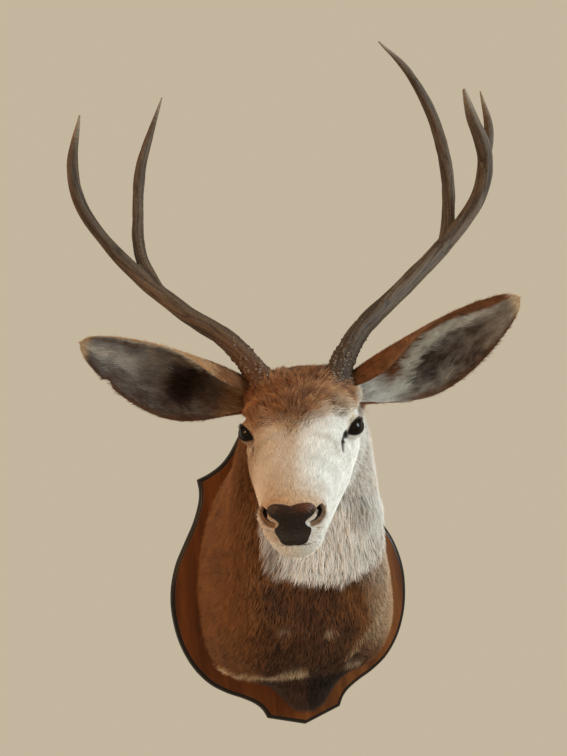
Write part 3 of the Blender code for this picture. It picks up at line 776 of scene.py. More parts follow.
def face_markings(points, local):
    """White-grey face, tan down the nose, with a brown cap that ends in waves at the brows. On the deer's
    right, away from the window light, tan and brown are painted as warm lamp light and shade.
    """
    x, forward, up = local.T
    lateral = np.abs(x)
    wander, fine = noise(points, 0.020, 1), noise(points, 0.006, 2)
    ridge = smooth((0.026 - lateral + 0.004 * wander) / 0.020) * smooth((0.012 - x) / 0.012)
    crease = line_distance(folded(local), FOLD)[0]
    around_eye = smooth((0.026 - apart(folded(local), (0.066, -0.004, 0.010))) / 0.012)
    below_slit = smooth((0.014 - apart(folded(local), (0.062, 0.024, -0.016))) / 0.008)
    # painted shade: darker on the deer's right side of the face and on its right cheek behind the eye, away
    # from the window light
    shaded = smooth((-0.030 - x + 0.004 * wander) / 0.020) * smooth((0.125 - forward) / 0.060)
    chin = smooth((-0.034 - up) / 0.012) * smooth((forward - 0.06) / 0.04)
    shaded_cheek = smooth((-0.02 - forward) / 0.06) * smooth((-x + 0.02) / 0.04)
    brow = smooth(-x / 0.03)
    inner_brow = np.linalg.norm((local - (0.050, 0.012, 0.030)) / (0.012, 0.020, 0.012), axis=1)
    border = cap_border(local, wander) + 0.006 * fine
    border = border + 0.024 * brow * smooth((lateral - 0.034) / 0.018)
    above = smooth((up - 0.012 + 0.013 * brow) / 0.012)
    cap = mix(UMBER * 1.9, CHOCOLATE * 1.6, 0.35 + 0.5 * wander) * (1 + 0.4 * fine[:, None])
    by_right, by_left = (smooth((0.052 - apart(points, EARS[name][0])) / 0.020) for name in EARS)
    rooty = mix(mix(GREY, WHITE, 0.55 + 0.4 * fine), GINGER, smooth((points[:, 2] - 0.250) / 0.025))
    return paint(
        mix(GREY, WHITE, 0.84 + 0.20 * fine + 0.16 * wander),
        # tan down the nose and over the deer's right half of the face: partly the coat's colour, partly
        # painted warm lamp light on the side away from the window light
        (TAN, 0.34 * ridge * smooth((forward - 0.01) / 0.05)),
        (TAN, (0.42 + 0.10 * wander) * smooth((0.004 - x + 0.002 * fine) / 0.006)),
        (TAN, 0.45 * smooth((forward - 0.140) / 0.04) * smooth((up + 0.020) / 0.02)),
        (GOLD, 0.45 * smooth((forward - 0.174) / 0.018) * smooth((up + 0.016) / 0.012)),
        # painted shade: grey along the crease beside the bridge of the nose
        (GREY, 0.60 * smooth((0.006 - crease) / 0.005)),
        # the pale ring round the eye, painted fainter on the deer's right as shade
        (CREAM, 0.7 * around_eye * (1 - 0.6 * smooth(-x / 0.01))),
        # painted shade on the deer's right side of the face
        (mix(TAN, UMBER, 0.45 + 0.3 * fine), 0.85 * shaded),
        (WHITE, below_slit),
        (WHITE, chin),
        # painted shade on the deer's right cheek
        (mix(TAN, UMBER, 0.3 + 0.3 * fine), 0.65 * shaded_cheek),
        (mix(TAN, UMBER, 0.25 + 0.4 * fine), 0.36 * smooth((border + 0.022 - forward) / 0.040) * above),
        (mix(UMBER, GREY, 0.35), 0.75 * smooth((1.35 - inner_brow + 0.4 * fine) / 0.8)),
        (cap, smooth((border - forward) / 0.034) * above),
        (mix(UMBER, CHOCOLATE, 0.4 + 0.4 * fine), 0.9 * by_right),
        (rooty, 0.9 * by_left))


def bib_markings(points, fine, strand):
    """The white bib's colour: streaked with tan, greyer and brown on the deer's right as painted shade, and
    brown in one patch.
    """
    x = points[:, 0]
    patch = np.linalg.norm((points - (0.074, -0.315, 0.088)) / (0.018, 0.05, 0.022), axis=1)
    return paint(
        # painted shade: the bib turns greyer and then brown on the deer's right, away from the window light
        mix(GREY, WHITE, 1.0 + 0.25 * strand - 0.35 * smooth((-0.02 - x) / 0.05)),
        (TAN, 0.30 * smooth(-0.2 + 1.4 * strand)),
        (UMBER * 1.3, 0.62 * smooth((-0.026 - x + 0.016 * strand) / 0.030)),
        (UMBER, 0.4 * smooth((1.3 - patch + 0.4 * fine) / 0.7)))


def body_markings(points, chart_u, station):
    """Ginger sides, a chocolate chest that is nearly black below, and the white bib."""
    x, y, z = points.T
    wander, fine = noise(points, 0.022, 1), noise(points, 0.006, 2)
    strand = noise(points / (1, 1, 5), 0.0045, 3)
    darker = 0.18 + 0.25 * wander + 0.2 * fine + 0.25 * smooth((z - 0.06) / 0.12)
    side = mix(GINGER * 0.80, UMBER * 0.7, darker) * (1 - 0.38 * smooth((-0.070 - z) / 0.09))[:, None]
    paler = 0.75 * smooth((x - 0.066 + 0.012 * wander) / 0.035) * smooth((z + 0.15) / 0.05)
    middle = smooth((0.116 + x + 0.022 * wander) / 0.075) * smooth((0.100 - x + 0.022 * wander) / 0.070)
    stub = smooth((rim_level(x) - 0.006 - z + 0.006 * wander) / 0.012)
    # painted shadow: nearly black where the hide meets the plaque on the deer's right
    board_shadow = smooth((0.034 + y + 0.006 * wander + BOARD_FACE) / 0.020) * smooth((-0.03 - z) / 0.06)
    level = np.interp(x, BIB_ACROSS, BIB_LEVEL, left=0.5, right=0.05) + 0.007 + 0.006 * wander + 0.005 * fine
    across = smooth((x + 0.084) / 0.016) * smooth((bib_side(z) + 0.012 * wander - x) / 0.026)
    bib = smooth((z - level) / 0.014) * across * smooth((-0.205 - y) / 0.03)
    bib *= smooth((0.35 - np.cos(2 * math.pi * chart_u)) / 0.30) * smooth((station - 7) / 3)
    neck_right = smooth((x - 0.060) / 0.03) * smooth((z + 0.025 + 0.02 * wander) / 0.06)
    neck_right *= smooth((-0.170 - y + 0.03 * wander) / 0.10)
    pale = mix(TAN, WHITE, 0.72 + 0.30 * strand + 0.45 * smooth((z - 0.01) / 0.06))
    seam, armpit = (line_distance(points, line)[0] for line in (SEAM, ARMPIT))
    whorls = [smooth((0.014 - apart(points, whorl)) / 0.010) for whorl in WHORLS]
    thick = 0.0032 + 0.0050 * smooth((x + 0.075) / 0.03)
    rim = np.exp(-((z - rim_level(x) + 0.003 * wander) / thick) ** 2) * smooth((-0.050 - y) / 0.02)
    return paint(
        side,
        (mix(TAN, GREY, 0.35), paler),
        (mix(UMBER, CHOCOLATE, 0.55 + 0.3 * wander) * 0.72, 0.9 * middle * smooth((0.03 - z) / 0.05)),
        (CHOCOLATE * 0.6, 0.8 * middle * smooth((-0.100 - z) / 0.05)),
        (NIGHT * 0.7, 0.95 * stub * smooth((x + 0.012 + 0.004 * wander) / 0.012)),
        (CHOCOLATE * 0.55, 0.9 * stub * smooth((-0.008 - x) / 0.010)),
        # painted shadow along the plaque
        (NIGHT, 0.75 * board_shadow * (x < 0)),
        (bib_markings(points, fine, strand), bib),
        (pale, 0.92 * neck_right * (1 - bib)),
        (TAN, 0.45 * np.exp(-(seam / 0.0045) ** 2)),
        *((mix(RUST, CREAM, 0.4 + 0.5 * fine), 0.75 * near) for near in whorls),
        (mix(TAN, WHITE, 0.3 + 0.4 * fine), 0.35 * smooth((0.013 - armpit) / 0.010)),
        (mix(TAN, CREAM, 0.5 + 0.5 * fine), 0.85 * rim * smooth((-0.008 - x) / 0.012)))


def ear_markings(points, chart_u, chart_v, part):
    """Rust-brown backs, and dark insides with pale hair along a curled rim and a brown lower edge, with
    painted shade in the hollow and under the curled rim.
    """
    broad, fine = noise(points, 0.012, 5), noise(points, 0.0045, 6)
    right = (part < 1.5).astype(float)
    height = (2 * chart_u) % 1
    light_edge = smooth((height - 0.78) / 0.12) * (0.10 + 0.80 * right * smooth((chart_v - 0.22) / 0.08))
    back = paint(
        RUST * 0.9,
        (UMBER, 0.15 + 0.3 * broad + 0.4 * smooth((0.16 - chart_v) / 0.1)),
        (mix(TAN, GOLD, 0.4), light_edge))
    cupped = smooth((0.95 - height) / 0.7) * smooth((chart_v - 0.35) / 0.2)
    slate = paint(
        EAR_DARK,
        (EAR_SLATE, 0.15 + 0.75 * cupped + 0.30 * broad + 0.25 * fine),
        (EAR_PALE, 0.45 * np.exp(-((height - 0.48) / 0.12) ** 2) * smooth((chart_v - 0.60) / 0.1)))
    brown = paint(
        EAR_DARK * 0.85,
        (EAR_PALE, 0.10 + 0.12 * broad + 0.20 * fine + 0.26 * smooth((chart_v - 0.62) / 0.35)),
        (EAR_PALE, 0.22 * smooth((height - 0.66) / 0.2) * smooth((0.62 - chart_v) / 0.3)))
    # painted shade: near black in the ear's hollow, and a dark band under the curled rim
    hollow = np.hypot((chart_v - 0.375) / 0.105, (height - 0.56) / 0.20)
    shade_under_rim = np.exp(-((height - 0.14) / 0.06) ** 2) * smooth((chart_v - 0.60) / 0.12) * right
    rust_end, pale_end, _ = (np.where(right > 0.5, *pair) for pair in
                             zip(*(ear_fold(name, chart_v) for name in ("ear_right", "ear_left"))))
    rim = smooth((pale_end + 0.03 * fine - height) / 0.07) * smooth((0.95 - chart_v) / 0.25)
    over = smooth((rust_end - height + 0.02 * fine) / 0.035)
    lower = smooth((height - 0.87 + 0.05 * fine) / 0.07) * smooth((chart_v - 0.20) / 0.1)
    root = mix(mix(TAN, UMBER, 0.6 + 0.4 * fine), mix(GREY, WHITE, 0.75 + 0.4 * fine), 1 - right)
    inside = paint(
        mix(brown, slate, right),
        # painted shade in the ear's hollow
        (NIGHT, smooth((1.35 - hollow) / 0.7) * (0.35 + 0.60 * right)),
        # painted shade under the curled rim
        (CHOCOLATE, 0.80 * shade_under_rim),
        (EAR_PALE * (1 + 0.2 * fine[:, None]), (0.95 - 0.30 * smooth((chart_v - 0.45) / 0.4)) * rim),
        (mix(RUST * 0.9, UMBER, 0.25 + 0.3 * broad), over * (1 - right)),
        (mix(TAN, GOLD, 0.4), over * right * smooth((0.05 - height) / 0.03)),
        (UMBER * 0.8, 0.9 * lower),
        (root, smooth((0.20 - chart_v) / 0.10)))
    ear = np.where((chart_u < 0.5)[:, None], back, inside)
    tip = np.where(right[:, None] > 0.5, mix(TAN, GOLD, 0.5 + 0.5 * fine), CREAM * 1.2)
    return mix(ear, tip, 0.9 * smooth((chart_v - 0.925) / 0.05))


def markings(points, chart_u, chart_v, part):
    """The coat's colour at points of the row frame."""
    station = chart_v * LAST_STATION
    head = face_markings(points, move(points, ROW_PLACE))
    body = body_markings(points, chart_u, station)
    below = smooth((0.10 - np.cos(2 * math.pi * chart_u)) / 0.4)
    nape = smooth((station - HEAD_COUNT + 1.0 + 3.0 * below + 0.3 * noise(points, 0.02, 4)) / 1.6)
    colour = mix(head, body, nape)
    return np.where((part > 0.5)[:, None], ear_markings(points, chart_u, chart_v, part), colour)


# How far from the eye's opening and the other lines of the face the hide is bare.
BARE_LID = 0.0028
BARE_SLIT = 0.0056
BARE_NOSTRIL = 0.0046
BARE_LIP = 0.0026


def bare_share(local):
    """1 where hair grows, and 0 on the nose pad, lids, tear slits, nostrils and lips."""
    hair = np.ones(len(local))
    near = near_eye(local, 0.035)
    hair[near] *= lid_distance(local[near])[0] > BARE_LID
    hair *= line_distance(folded(local), TEAR_SLIT)[0] > BARE_SLIT
    front = local[:, 1] > 0.125
    nose = folded(local[front])
    flat = nose[:, [0, 2]]
    clear = (pad_distance(nose) > 0.0003) | (nose[:, 1] < 0.170)
    clear &= (line_distance(flat, NOSTRIL)[0] > BARE_NOSTRIL) | (nose[:, 1] < 0.165)
    hair[front] *= clear & (line_distance(nose, MOUTH)[0] > BARE_LIP)
    return hair


SLATE = np.array((0.026, 0.018, 0.016))
NOSE_BLACK = np.array((0.010, 0.005, 0.004))
NOSE_BROWN = np.array((0.120, 0.040, 0.018))
NOSTRIL_TAN = np.array((0.22, 0.13, 0.075))


def bare_markings(colour, local):
    """The hide's colour with its bare places, and how far each of them shines as if wet."""
    colour, wet = colour.copy(), np.zeros(len(colour))
    near = near_eye(local, 0.040)
    lids = smooth((0.0026 - lid_distance(local[near])[0]) / 0.0012)
    colour[near], wet[near] = mix(colour[near], SLATE, lids), 0.6 * lids
    gap, share = line_distance(folded(local), TEAR_SLIT)
    tear = smooth((0.0080 - 0.0026 * share - gap) / 0.0034)
    colour = mix(colour, SLATE * 0.8, 0.97 * tear)
    front = local[:, 1] > 0.125
    nose = folded(local[front])
    ahead = smooth((nose[:, 1] - 0.172) / 0.006)
    flat = nose[:, [0, 2]]
    gap = pad_distance(nose)
    hole, along = line_distance(flat, NOSTRIL)
    wall = smooth((0.0038 - line_distance(flat, NOSTRIL_WALL)[0]) / 0.002) * ahead
    rim = np.exp(-((gap - 0.0010) / 0.0007) ** 2) * smooth((nose[:, 2] + 0.020) / 0.005)
    pad = smooth((0.0002 - gap) / 0.0005) * ahead
    # the pad's upper part is brown, browner on the deer's left where the window light falls: partly its own
    # colour, partly painted light
    top = smooth((nose[:, 2] + 0.008) / 0.009) * (0.15 + 0.55 * smooth(local[front][:, 0] / 0.016))
    lips = smooth((0.0034 - line_distance(nose, MOUTH)[0]) / 0.0012)
    colour[front] = paint(
        colour[front],
        (NOSTRIL_TAN, wall),
        # painted shade: nearly black inside the nostril's opening
        (NIGHT * 0.6, smooth((0.0050 - 0.0026 * along - hole) / 0.0034) * ahead),
        (NOSTRIL_TAN * 2.0, 0.55 * rim * ahead),
        # the pad: black below, brown on top, partly painted light
        (mix(NOSE_BLACK, NOSE_BROWN, top), pad),
        (NIGHT, lips))
    wet[front] = np.maximum(pad, 0.5 * lips)
    return colour, wet


skin_colour = markings(skin_v, skin_row[:, 6], skin_row[:, 7], skin_row[:, 8])
skin_colour, skin_wet = bare_markings(skin_colour * 0.90, skin_local)


def hold_colours(mesh, name, colours):
    held = mesh.attributes.new(name, "FLOAT_COLOR", "POINT")
    held.data.foreach_set("color", np.insert(colours, 3, 1, axis=1).astype(np.float32).ravel())


hold_colours(skin.data, "tone", skin_colour)
held = skin.data.attributes.new("wet", "FLOAT", "POINT")
held.data.foreach_set("value", skin_wet.astype(np.float32))
# The map that the hair's streaks follow: round the body, then along it.
corner = np.empty(len(skin.data.loops), np.int32)
skin.data.loops.foreach_get("vertex_index", corner)
starts = np.array([face.loop_start for face in skin.data.polygons])
lie = skin_row[corner, 6:8].copy()
highest = np.repeat(np.maximum.reduceat(lie[:, 0], starts), np.diff(np.append(starts, len(corner))))
lie[:, 0] += (highest - lie[:, 0] > 0.5)
skin.data.uv_layers.new(name="lie").uv.foreach_set("vector", lie.astype(np.float32).ravel())

for node in ("muzzle", "nose_pad", "lower_jaw", "head", "neck", "shoulders", "ear_right", "ear_left"):
    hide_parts(node)
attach(skin, "root")

MULTIPLY = {"data_type": "RGBA", "blend_type": "MULTIPLY"}
hide_paint, add, wire, shader = node_material("hide")
set_inputs(shader, {"Specular IOR Level": 0.28})
reader = add("Attribute", attribute_name="tone")
wetness = add("Attribute", attribute_name="wet")
flow = add("UVMap", uv_map="lie")
comb = add("Mapping", {"Scale": (420, 46, 1)})
streak = add("TexNoise", {"Scale": 1.0, "Detail": 4})
shading = add("MapRange", {"From Min": 0.3, "From Max": 0.7, "To Min": 0.55, "To Max": 1.30})
dry = add("Mix", {"B": 1.0})
tint = add("Mix", {"Factor": 1.0}, **MULTIPLY)
place = add("TexCoord")
pebble = add("TexVoronoi", {"Scale": 780}, feature="SMOOTH_F1")
bead = add("MapRange", {"To Min": 1.0, "To Max": 0.0})
relief = add("Mix")
gloss = add("MapRange", {"To Min": 0.80, "To Max": 0.17})
bump = add("Bump", {"Strength": 0.9, "Distance": 0.0008})
wire((flow, "UV", comb, "Vector"), (comb, "Vector", streak, "Vector"), (streak, "Fac", shading, "Value"),
     (wetness, "Fac", dry, "Factor"), (shading, "Result", dry, "A"), (reader, "Color", tint, "A"),
     (dry, "Result", tint, "B"), (place, "Object", pebble, "Vector"), (pebble, "Distance", bead, "Value"),
     (wetness, "Fac", relief, "Factor"), (streak, "Fac", relief, "A"), (bead, "Result", relief, "B"),
     (relief, "Result", bump, "Height"), (bump, "Normal", shader, "Normal"),
     (wetness, "Fac", gloss, "Value"), (gloss, "Result", shader, "Roughness"))
# pale spots on the tops of the nose pad's pebbles, in patches: painted glints of the wet pad
grain = add("MapRange", {"From Min": 0.80, "From Max": 0.92})
patches = add("TexNoise", {"Scale": 330})
patchy = add("MapRange", {"From Min": 0.50, "From Max": 0.66, "To Max": 0.55})
glint_spots = add("Math", operation="MULTIPLY")
wet_glints = add("Math", operation="MULTIPLY")
painted_glint = add("Mix", {"B": (0.50, 0.40, 0.32, 1)}, data_type="RGBA")
wire((bead, "Result", grain, "Value"), (place, "Object", patches, "Vector"),
     (patches, "Fac", patchy, "Value"), (grain, "Result", glint_spots, 0), (patchy, "Result", glint_spots, 1),
     (glint_spots, "Value", wet_glints, 0), (wetness, "Fac", wet_glints, 1), (wet_glints, "Value", painted_glint, "Factor"),
     (tint, "Result", painted_glint, "A"), (painted_glint, "Result", shader, "Base Color"))
skin.data.materials.clear()
skin.data.materials.append(hide_paint)


# ---- eyes -----------------------------------------------------------------------------------
# Glass taxidermy eyes, nearly black with a dark brown iris round a level oval pupil, set in the
# carved sockets so that the lids lie on them.
glass_paint, add, wire, shader = node_material("eye_glass")
set_inputs(shader, {"Roughness": 0.05, "Specular IOR Level": 0.09, "Coat Weight": 0.16,
                    "Coat Roughness": 0.03})
wire((add("Attribute", attribute_name="tone"), "Color", shader, "Base Color"))

PUPIL = (0.0062, 0.0040)
CORNEA_BULGE, CORNEA_SPREAD = 0.0007, 0.0075
IRIS_BROWN = np.array((0.006, 0.003, 0.002))
for side, name in ((-1, "eye_right"), (1, "eye_left")):
    mirror = np.array((side, 1, 1))
    middle = move(EYE_PLACE * mirror, HEAD_PLACE)
    bpy.ops.object.select_all(action="DESELECT")
    bpy.ops.mesh.primitive_uv_sphere_add(segments=72, ring_count=40, radius=EYE_RADIUS, location=middle)
    ball = bpy.context.object
    ball.name = f"{name}_glass"
    aim, along, over = ((v * mirror) @ HEAD_PLACE[:3, :3].T for v in (eye_aim, lid_along, lid_over))
    ball.rotation_mode = "QUATERNION"
    ball.rotation_quaternion = Vector(aim).to_track_quat("Z", "Y")
    only(ball)
    bpy.ops.object.transform_apply(location=True, rotation=True, scale=True)
    bpy.ops.object.shade_smooth()
    off = vertex_points(ball.data) - middle
    depth = off @ aim
    off_aim = (off @ along) ** 2 + (off @ over) ** 2
    bulge = CORNEA_BULGE * np.exp(-off_aim / CORNEA_SPREAD ** 2) * (depth > 0)
    set_points(ball.data, middle + off * (1 + bulge / EYE_RADIUS)[:, None])
    oval = np.sqrt((off @ along / PUPIL[0]) ** 2 + (off @ over / PUPIL[1]) ** 2)
    iris = smooth((oval - 0.9) / 0.3) * smooth((1.9 - oval) / 0.5) * (depth > 0)
    hold_colours(ball.data, "tone", mix(NIGHT * 0.25, IRIS_BROWN, iris))
    ball.data.materials.append(glass_paint)
    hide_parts(name)
    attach(ball, "root")


# ---- antlers ------------------------------------------------------------------------------------
# A pair of bone antlers with the velvet shed: beams that fork into points, with long furrows,
# rows of small pearls round the base and worn, polished tips. Each is one piece of bone.
RIGHT_BEAM = (
    (-0.066, -0.410, 0.262, 0.0180), (-0.105, -0.386, 0.331, 0.0150),
    (-0.167, -0.367, 0.388, 0.0135), (-0.226, -0.361, 0.447, 0.0125),
    (-0.270, -0.376, 0.495, 0.0102), (-0.302, -0.405, 0.540, 0.0092),
    (-0.308, -0.436, 0.588, 0.0084), (-0.291, -0.470, 0.643, 0.0016),
)
RIGHT_BACK_TINE = (
    (-0.206, -0.360, 0.430, 0.0115), (-0.228, -0.353, 0.490, 0.0098),
    (-0.229, -0.351, 0.562, 0.0090), (-0.219, -0.362, 0.640, 0.0084),
    (-0.180, -0.400, 0.733, 0.0014),
)
LEFT_BEAM = (
    (0.022, -0.438, 0.250, 0.0185), (0.075, -0.416, 0.327, 0.0150),
    (0.160, -0.401, 0.400, 0.0140), (0.236, -0.402, 0.466, 0.0135),
    (0.291, -0.429, 0.528, 0.0125), (0.294, -0.468, 0.577, 0.0115),
    (0.256, -0.514, 0.613, 0.0078), (0.231, -0.548, 0.627, 0.0026),
)
LEFT_BACK_TINE = (
    (0.232, -0.402, 0.460, 0.0095), (0.255, -0.396, 0.512, 0.0108),
    (0.273, -0.389, 0.606, 0.0106), (0.262, -0.398, 0.700, 0.0096),
    (0.215, -0.434, 0.757, 0.0062), (0.156, -0.470, 0.781, 0.0014),
)
LEFT_REAR_POINT = (
    (0.296, -0.462, 0.570, 0.0085), (0.307, -0.473, 0.622, 0.0072),
    (0.299, -0.484, 0.681, 0.0014),
)
# Each brow nub: station of the beam, the way that it points, its root radius and height.
ANTLERS = {
    "antler_right": ((RIGHT_BEAM, RIGHT_BACK_TINE),
                     (RIGHT_BEAM, 1.30, (-0.45, -0.30, 0.85), 0.0060, 0.0060)),
    "antler_left": ((LEFT_BEAM, LEFT_BACK_TINE, LEFT_REAR_POINT),
                    (LEFT_BEAM, 1.55, (-0.10, -0.95, 0.25), 0.0045, 0.0030)),
}
ANTLER_NODES = {
    "antler_right": ("antler_right_base", "antler_right_front_point", "antler_right_back_tine"),
    "antler_left": ("antler_left_base", "antler_left_front_beam", "antler_left_front_point",
                    "antler_left_rear_point", "antler_left_back_tine"),
}
ANTLER_VOXEL = 0.0016
ROOT_DEPTH = 0.014                  # how far the bone goes on down under the hair
PEARL_REACH = 0.150                 # how far up the beam the pearls go
FINE_REACH = 0.125                  # how far from the burr the mesh is finer
PEARL_SIZES = (0.0012, 0.0029)      # the smallest and largest radius
PEARLS = 420                        # on each antler
FURROW_DEPTH = 0.0011
BONE_GREY = np.array((0.112, 0.080, 0.054))
BONE_DARK = np.array((0.026, 0.016, 0.010))
BONE_RED = np.array((0.100, 0.042, 0.020))
BONE_TIP = np.array((0.400, 0.345, 0.270))


def tube(line, deeper=0.0, sides=28, step=0.08):
    """Rings square to a line of (x, y, z, radius), turned as little as possible on the way."""
    line = np.array(line, float)
    line[0, :3] -= unit(line[1, :3] - line[0, :3]) * deeper
    steps = max(3, round((len(line) - 1) / step))
    at = np.linspace(0, len(line) - 1, steps + 1)
    here = spline(line, at)
    ways = unit(np.gradient(here[:, :3], axis=0))
    side = np.array(Vector(ways[0]).orthogonal().normalized())
    turns = 2 * math.pi * np.arange(sides) / sides
    rings = []
    for point, way in zip(here, ways):
        side = unit(side - way * (side @ way))
        over = np.cross(way, side)
        rings.append(point[:3] + point[3] * (np.outer(np.cos(turns), side) + np.outer(np.sin(turns), over)))
    return np.array(rings), here, ways


def brow_nub(line, at, way, root_radius, height):
    here = spline(line, [at])[0]
    middle, way = here[:3], unit(np.array(way))
    shoulder, tip = middle + way * here[3] * 0.75, middle + way * (here[3] + height)
    return ((*middle, root_radius), (*shoulder, root_radius), (*tip, 0.0015))


def colour_ramp(node, first, *middle, last):
    """Sets a ramp's stops, each of them a place from 0 to 1 and a colour."""
    stops = node.color_ramp.elements
    for stop, (place, colour) in zip(stops, (first, last)):
        stop.position, stop.color = place, (*colour, 1)
    for place, colour in middle:
        stops.new(place).color = (*colour, 1)


bone_paint, add, wire, shader = node_material("antler_bone")
set_inputs(shader, {"Specular IOR Level": 0.30})
reader = add("Attribute", attribute_name="tone")
place = add("TexCoord")
grain = add("TexNoise", {"Scale": 260, "Detail": 5})
shade = add("Mix", {"Factor": 0.55}, **MULTIPLY)
light = add("ValToRGB")
colour_ramp(light, (0.3, (0.45, 0.42, 0.40)), last=(0.7, (1.35, 1.3, 1.25)))
bump = add("Bump", {"Strength": 0.5, "Distance": 0.0006})
gloss = add("MapRange", {"To Min": 0.48, "To Max": 0.80})
wire((place, "Object", grain, "Vector"), (grain, "Fac", light, "Fac"), (reader, "Color", shade, "A"),
     (light, "Color", shade, "B"), (shade, "Result", shader, "Base Color"), (grain, "Fac", bump, "Height"),
     (bump, "Normal", shader, "Normal"), (grain, "Fac", gloss, "Value"),
     (gloss, "Result", shader, "Roughness"))

for name, (lines, nub) in ANTLERS.items():
    tubes = [tube(line, 0.0 if k else ROOT_DEPTH) for k, line in enumerate(lines)]
    shells = [shell_object(f"{name}_{k}", rings) for k, (rings, _, _) in enumerate(tubes)]
    shells.append(shell_object(f"{name}_nub", tube(brow_nub(*nub), 0.0, 16, 0.2)[0]))
    only(*shells)
    bpy.ops.object.join()
    antler = bpy.context.object
    antler.name = antler.data.name = name
    antler.data.remesh_voxel_size = ANTLER_VOXEL
    antler.data.use_remesh_fix_poles = False
    bpy.ops.object.voxel_remesh()
    softened = antler.modifiers.new("softened forks", "SMOOTH")
    softened.factor = 0.6
    softened.iterations = 6
    bpy.ops.object.modifier_apply(modifier=softened.name)
    burr = move(np.array(lines[0][0][:3]), ROW_PLACE)
    refine(antler, lambda p: apart(p, burr) < FINE_REACH)
    # what each place of the bone is near: its line, how far along it and how far round
    heart, way, thick, far, left = [], [], [], [], []
    for rings, here, ways in tubes:
        steps = np.linalg.norm(np.diff(here[:, :3], axis=0), axis=1)
        run = np.concatenate(([0], np.cumsum(steps)))
        heart.append(here[:, :3])
        way.append(ways)
        thick.append(here[:, 3])
        far.append(run)
        left.append(run[-1] - run)
    heart, way, thick, far, left = (np.concatenate(v) for v in (heart, way, thick, far, left))
    on_beam = np.arange(len(heart)) < len(tubes[0][1])
    verts, normals = vertex_points(antler.data), vertex_ways(antler.data)
    near = nearest(tree_of(heart), verts)
    off = verts - heart[near]
    side = unit(np.cross(way[near], (0.2, 0.9, 0.3)))
    over = np.cross(way[near], side)
    turn = np.arctan2((off * over).sum(1), (off * side).sum(1))
    run = far[near] + (off * way[near]).sum(1)
    twist = turn + run * 6.0
    around = np.stack((np.cos(twist) * 2.6, np.sin(twist) * 2.6, run / 0.050), 1)
    furrow = 1 - np.abs(noise(around, 1.0, 31))
    fine_furrow = 1 - np.abs(noise(around * (2.2, 2.2, 1.4), 1.0, 32))
    bare_tip = smooth(left[near] / 0.110)
    base = smooth(1 - run / PEARL_REACH) * on_beam[near]
    # pearls: round beads of bone, closest together at the burr and smaller up the beam
    lot = np.random.default_rng(len(name))
    chance = (base * (1 + 0.6 * noise(around, 1.0, 33))).clip(0) ** 1.6
    seats = lot.choice(len(verts), PEARLS, replace=False, p=chance / chance.sum())
    sizes = PEARL_SIZES[0] + (PEARL_SIZES[1] - PEARL_SIZES[0]) * base[seats] * lot.random(PEARLS)
    bead = nearest(tree_of(verts[seats]), verts)
    reach = np.linalg.norm(verts - verts[seats][bead], axis=1) / sizes[bead]
    pearls = np.sqrt(np.maximum(1 - reach ** 2, 0))
    groove = (furrow ** 4 + 0.45 * fine_furrow ** 4) * (0.25 + 0.75 * bare_tip)
    rough = 0.0008 * noise(verts, 0.0045, 34) * base
    lift = 0.85 * sizes[bead] * pearls + rough - FURROW_DEPTH * groove * (1 - 0.6 * base)
    lift += 0.0006 * noise(verts, 0.022, 35) * bare_tip
    set_points(antler.data, verts + normals * lift[:, None])
    bone = paint(
        BONE_GREY * (1 + 0.25 * noise(verts, 0.05, 36)[:, None]),
        (BONE_DARK, (0.75 * groove).clip(0, 0.9)),
        (BONE_RED if name == "antler_right" else BONE_DARK * 1.6, 0.80 * base),
        (BONE_TIP, 0.75 * smooth((pearls - 0.70) / 0.3) * lot.random(PEARLS)[bead] ** 1.5),
        (BONE_TIP, (1 - smooth(left[near] / 0.050)) * 0.50))
    hold_colours(antler.data, "tone", bone)
    antler.data.shade_smooth()
    antler.data.materials.clear()
    antler.data.materials.append(bone_paint)
    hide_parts(*ANTLER_NODES[name])
    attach(antler, "root")


# ---- plaque ---------------------------------------------------------------------------------------
# A shield-shaped board of solid wood with an ogee cut all round its edge. The face has a satin
# orange-brown stain over upright grain, and the moulded edge is stained nearly black.
PLAQUE_HEIGHT = 0.580
PLAQUE_HALF = (
    ((0.0000, 0.0000), (0.0685, 0.0200)),
    ((0.0685, 0.0200), (0.0765, 0.0345), (0.0890, 0.0465), (0.1110, 0.0590), (0.1400, 0.0725),
     (0.1715, 0.0935), (0.2000, 0.1275), (0.2205, 0.1720), (0.2300, 0.2210), (0.2290, 0.2640),
     (0.2180, 0.3060), (0.1990, 0.3440), (0.1800, 0.3800), (0.1680, 0.4130), (0.1640, 0.4380),
     (0.1667, 0.4623)),
    ((0.1667, 0.4623), (0.1425, 0.4722), (0.1195, 0.4865), (0.1010, 0.5055), (0.0870, 0.5265),
     (0.0690, 0.5560)),
    ((0.0690, 0.5560), (0.0000, PLAQUE_HEIGHT)),
)
# The edge's profile from the back to the face: depth from the wall and how far it stands in.
OGEE = ((0.0, 0.0006), (0.0006, 0.0), (0.0068, 0.0), (0.0074, 0.0006), (0.0080, 0.0012), (0.0100, 0.0014),
        (0.0122, 0.0020), (0.0142, 0.0034), (0.0156, 0.0052), (0.0163, 0.0072), (0.0165, 0.0086),
        (0.0168, 0.0092), (0.0184, 0.0094), (BOARD_FACE, 0.0100))


def plaque_outline():
    half = []
    for stretch in PLAQUE_HALF:
        steps = 6 if len(stretch) == 2 else 6 * (len(stretch) - 1)
        half += list(spline(stretch, np.arange(steps) * (len(stretch) - 1) / steps))
    half.append(np.array(PLAQUE_HALF[-1][-1]))
    mirrored = [np.array((-x, z)) for x, z in reversed(half[1:-1])]
    return np.array(half + mirrored) - (0, PLAQUE_HEIGHT / 2)


